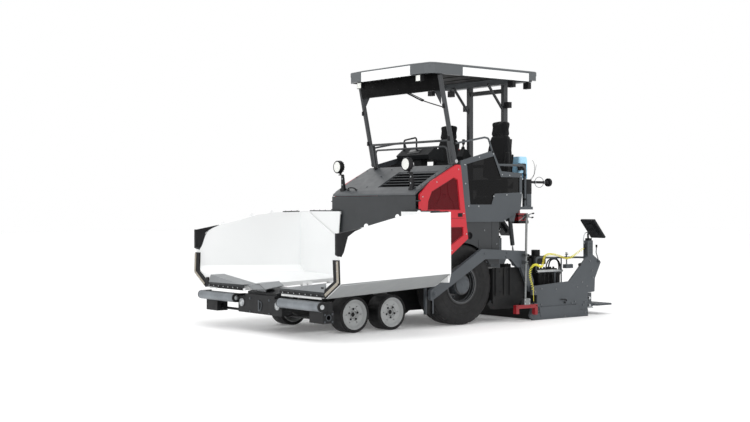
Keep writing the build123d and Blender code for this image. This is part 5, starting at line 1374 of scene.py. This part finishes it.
pads = [
    # name, low corner, high corner, crown, lean
    ("seat_cushion", (-1.005, 0.330, 1.846), (-0.575, 0.766, 1.948), 0.3, radians(-3)),
    ("seat_back", (-1.065, 0.316, 1.958), (-0.962, 0.780, 2.618), 0.3, radians(-5)),
    ("head_rest", (-1.092, 0.402, 2.584), (-0.990, 0.694, 2.794), 0.3, radians(-4)),
    ("bolster_left", (-0.985, 0.730, 2.00), (-0.925, 0.786, 2.36), 0.2, radians(-5)),
    ("bolster_right", (-0.985, 0.310, 2.00), (-0.925, 0.366, 2.36), 0.2, radians(-5)),
    ("cushion_side_left", (-0.98, 0.728, 1.915), (-0.60, 0.776, 1.962), 0.2, radians(-3)),
    ("cushion_side_right", (-0.98, 0.320, 1.915), (-0.60, 0.368, 1.962), 0.2, radians(-3)),
]
for name, low, high, crown, lean in pads:
    small = name.startswith(("bolster", "cushion_side"))
    voxel, cap = (0.0060, 0.007) if small else (0.0075, 0.011)
    master = cushion(f"{name}_1", low, high, crown, lean, voxel, cap)
    if name == "seat_back":
        long_seams = [(1, y, 0, 0.005, 0.005) for y in (0.395, 0.701)]
        seam_groove(master, [(2, 2.245, 0, 0.008, 0.006)] + long_seams)
    if name == "seat_cushion":
        long_seams = [(1, y, 2, 0.005, 0.005) for y in (0.395, 0.701)]
        seam_groove(master, [(0, -0.72 + AXLE, 2, 0.007, 0.006)] + long_seams)
    twin_data = master.data.copy()
    for v in twin_data.vertices:
        v.co.y -= 2 * seat_y
    twin = add_object(f"{name}_2", twin_data)
    for obj in (master, twin):
        finish_pad(obj)
seat_side = [(-1.06, 1.94), (-0.98, 1.88), (-0.62, 1.88), (-0.60, 1.86), (-0.60, 1.845), (-1.05, 1.845)]
for side, way in SIDES.items():
    y = seat_y
    base = Piece(f"seat_frame_{side}", way)
    base.block((-0.985, y - 0.200, 1.822), (-0.600, y + 0.200, 1.850), 0.006)
    base.block((-0.940, y - 0.125, 1.7008), (-0.660, y + 0.125, 1.732), 0.006)
    for k in range(6):
        z = 1.738 + 0.0145 * k
        inset = 0.010 if k % 2 else 0.0
        base.block(
            (-0.930 + inset, y - 0.120 + inset, z), (-0.670 - inset, y + 0.120 - inset, z + 0.0140), 0.004
        )
    lower_back = [(-1.07, 2.00), (-1.05, 1.98), (-1.088, 2.33), (-1.104, 2.32)]
    upper_back = [(-1.104, 2.32), (-1.088, 2.33), (-1.108, 2.55), (-1.124, 2.54)]
    for outline, half in ((lower_back, 0.200), (upper_back, 0.150)):
        base.prism(outline, y - half, y + half, "Y", 0.006)
    for dy in (-0.05, 0.05):
        base.rod((-1.072, y + dy, 2.56), (-1.078, y + dy, 2.65), 0.006, None, 12)
    for dy in (-0.232, 0.232):
        base.prism(seat_side, y + dy - 0.006, y + dy + 0.006, "Y", 0.003)
    base.done("console", "chassis", "console_plastic", replaces=("seats",))

    stitch = Piece(f"seat_stitching_{side}", way)
    for i in range(36):
        z = 2.02 + 0.0145 * i
        x = -0.9675 - (z - 2.02) * 0.105
        for dy in (-0.139, 0.139):
            stitch.rod((x, y + dy, z), (x - 0.0008, y + dy, z + 0.008), 0.0011, None, 6)
    stitch.done("light_grey", "chassis", "seat_fabric")

    arm = Piece(f"seat_arm_{side}", way)
    arm_y = y - 0.26
    bends = [(-1.06, arm_y, 2.14), (-1.0, arm_y, 2.17), (-0.80, arm_y, 2.165), (-0.72, arm_y, 2.155)]
    arm.tube(bends, 0.022, 14, 6)
    arm.rod((-1.045, arm_y, 2.12), (-1.055, y - 0.222, 2.12), 0.014, None, 16, 0.002)
    arm.done("rubber", "chassis", "seat_fabric")


# Console, joystick and floor
def desk_z(x):
    """Height of the console's rear slope"""
    return 2.43 + (x + 0.33) / 0.17 * 0.04


desk = Piece("console_faces")
for i in range(4):
    x = -0.36 - 0.035 * i
    for j in range(9):
        y = -0.70 + 0.055 * j
        desk.rod((x, y, desk_z(x) - 0.001), (x, y, desk_z(x) + 0.006), 0.0095, 0.0085, 16, 0.0012)
for y in (-0.20, -0.14, -0.10):
    desk.rod((-0.40, y, desk_z(-0.40) - 0.001), (-0.40, y, desk_z(-0.40) + 0.022), 0.011, 0.014, 18, 0.003)
desk.done("rubber", "chassis", "rubber_black")

screen = Piece("console_screen")
turn = Matrix.Rotation(atan2(0.10, 0.13), 4, "Y")
screen.block((-0.318, -0.55, 2.384), (-0.222, -0.30, 2.390), 0.003, turn)
screen.done("screen", "chassis", "console_plastic")

lever = Piece("joystick")
lever.tube([(-0.60, 0.24, 2.40), (-0.602, 0.24, 2.44), (-0.61, 0.238, 2.475)], 0.010, 12, 4)
lever.rod((-0.610, 0.238, 2.470), (-0.618, 0.237, 2.545), 0.020, 0.024, 24, 0.008)
for k in range(5):
    lever.ring((-0.602, 0.24, 2.405 + 0.008 * k), (0, 0, 1), 0.026 - 0.002 * k, 0.004, 24, 8)
lever.done("rubber", "chassis", "rubber_black")

knob = Piece("joystick_knob")
knob.rod((-0.560, 0.20, 2.395), (-0.556, 0.20, 2.412), 0.010, 0.0085, 18, 0.002)
knob.done("red_plastic", "chassis", "red_plastic")

floor_tread = Piece("platform_tread")
floor_tread.tread(-0.683, -0.80, 1.4250, 0.0018, 19, 45)
floor_tread.done("grey", "chassis", "grey_paint")

foot_rests = Piece("platform_parts")
for way in SIDES.values():
    foot_rests.way = way
    for k in range(5):
        x = -0.32 + 0.05 * k
        foot_rests.block((x, 0.40, 1.428), (x + 0.02, 0.80, 1.44), 0.004)
foot_rests.done("rubber", "chassis", "rubber_black")

# Rear of the platform: blue box parts, antennas and the ring on the lamp arm
box_trim = Piece("blue_box_parts")
box_trim.block((-1.523, 0.5602, 2.115), (-1.362, 0.585, 2.212), 0.012)
for k in range(5):
    box_trim.block((-1.512, 0.5845, 2.125 + 0.018 * k), (-1.373, 0.5875, 2.133 + 0.018 * k), 0.001)
bends = [(-1.44, 0.585, 2.16), (-1.44, 0.64, 2.155), (-1.36, 0.70, 2.13), (-1.30, 0.76, 1.975)]
box_trim.tube(bends, 0.016, 14, 8)
box_trim.done("rubber", "chassis", "rubber_black")

box_foot = Piece("blue_box_foot")
box_foot.block((-1.570, 0.500, 1.995), (-1.515, 0.556, 2.083), 0.006)
box_foot.block((-1.5768, 0.345, 2.115), (-1.5752, 0.545, 2.245), 0.0006)
box_foot.done("blue", "chassis", "blue_plastic")

antenna = Piece("antenna_wires")
bends = [
    (-1.640, 0.585, 2.26), (-1.665, 0.60, 2.24), (-1.675, 0.60, 2.12), (-1.655, 0.60, 2.03),
    (-1.58, 0.60, 1.985),
]
antenna.tube(bends, 0.0026, 8, 8)
bends = [(-1.71, 0.60, 2.20), (-1.685, 0.60, 2.12), (-1.665, 0.60, 2.04), (-1.60, 0.60, 1.975)]
antenna.tube(bends, 0.0026, 8, 8)
antenna.done("frame", "chassis", "frame_paint")

ring_wire = Piece("lamp_arm_ring")
lamp_arm_y, lamp_arm_z = 0.80, 1.94
ring_line = [(-1.560 + 0.090 * c, lamp_arm_y, lamp_arm_z + 0.074 * s) for c, s in circle(32)]
ring_wire.tube(ring_line + ring_line[:1], 0.0042, 8, 1, False)
for x in (-1.652, -1.468):
    ring_wire.rod(
        (x - 0.008, lamp_arm_y, lamp_arm_z), (x + 0.008, lamp_arm_y, lamp_arm_z), 0.022, None, 20, 0.002
    )
ring_wire.done("fixing", "chassis", "bright_steel")

# Rear of the platform: round lamp, column caps and signal box
rear_lamp = Piece("rear_lamp_parts")
rear_lamp.ring((-1.7670, lamp_arm_y, lamp_arm_z), (1, 0, 0), 0.050, 0.005, 40, 8)
for k in range(5):
    rear_lamp.ring((-1.733 - 0.007 * k, lamp_arm_y, lamp_arm_z), (1, 0, 0), 0.0575, 0.0018, 40, 6)
rear_lamp.rod((-1.727, lamp_arm_y, lamp_arm_z), (-1.700, lamp_arm_y, lamp_arm_z), 0.034, 0.022, 28, 0.003)
rear_lamp.done("lamp", "chassis", "lamp_black")

rear_lens = Piece("rear_lamp_lens")
rear_lens.rod((-1.7665, lamp_arm_y, lamp_arm_z), (-1.7695, lamp_arm_y, lamp_arm_z), 0.047, 0.044, 40, 0.001)
rear_lens.done("lens", "chassis", "lamp_black")

column = Piece("column_caps")
for way in SIDES.values():
    column.way = way
    column.block((-1.345, 0.7655, 1.770), (-1.245, 0.8645, 1.978), 0.008)
    for k in range(7):
        z = 1.79 + 0.024 * k
        column.block((-1.3465, 0.780, z), (-1.3435, 0.850, z + 0.01), 0.001)
column.done("rubber", "chassis", "rubber_black")

signal = Piece("signal_box_trim")
signal.block((-1.4895, 0.5285, 1.352), (-1.2845, 0.6615, 1.395), 0.004)
signal.block((-1.4895, 0.5285, 1.452), (-1.2845, 0.6615, 1.470), 0.003)
signal.peg(-1.387, 1.425, 0.662, 0.668, 0.026, 0.024, 28, 0.001)
signal.done("rubber", "chassis", "rubber_black")

# Bolts on the auger guard plates
for side, way in SIDES.items():
    guard = Piece(f"auger_guard_bolts_{side}", way)
    bolt_places = ((-0.58, 0.70), (-0.70, 0.70), (-0.83, 0.70), (-0.58, 0.42), (-0.70, 0.42))
    guard.side_bolts(bolt_places, 0.8882, 0.009, 0.005)
    guard.done("frame", "chassis", "frame_paint")


# Floor and light
def area_light(name, place, target, size, power):
    data = bpy.data.lights.new(name, "AREA")
    data.shape = "RECTANGLE"
    data.size, data.size_y = size
    data.energy = power
    obj = add_object(name, data)
    aim = Vector(target) - Vector(place)
    obj.matrix_world = Matrix.Translation(place) @ aim.to_track_quat("-Z", "Y").to_matrix().to_4x4()


floor_mesh = bpy.data.meshes.new("floor")
floor_half = 60.0
floor_corners = [(x * floor_half, y * floor_half, 0) for x, y in ((-1, -1), (1, -1), (1, 1), (-1, 1))]
floor_mesh.from_pydata(floor_corners, [], [(0, 1, 2, 3)])
floor = add_object("floor", floor_mesh)
floor_paint = painted("floor_white", (0.90, 0.90, 0.90), 0.75, 0.004)
set_input(floor_paint.node_tree.nodes["Principled BSDF"], "Emission Color", (1, 1, 1, 1))
set_input(floor_paint.node_tree.nodes["Principled BSDF"], "Emission Strength", 0.11)
floor_mesh.materials.append(floor_paint)
world = bpy.data.worlds.new("studio")
bpy.context.scene.world = world
world.use_nodes = True
set_input(world.node_tree.nodes["Background"], "Color", (1.0, 1.0, 1.0, 1))
set_input(world.node_tree.nodes["Background"], "Strength", 1.0)
area_light("key", (7, 12, 9), (0, 0, 1.2), (6, 5), 450)
area_light("front", (13, 2, 6), (1, 0, 1.0), (5, 5), 150)
area_light("top", (0, 0, 9), (0, 0, 0), (8, 6), 250)
bpy.context.scene.view_settings.view_transform = "Standard"
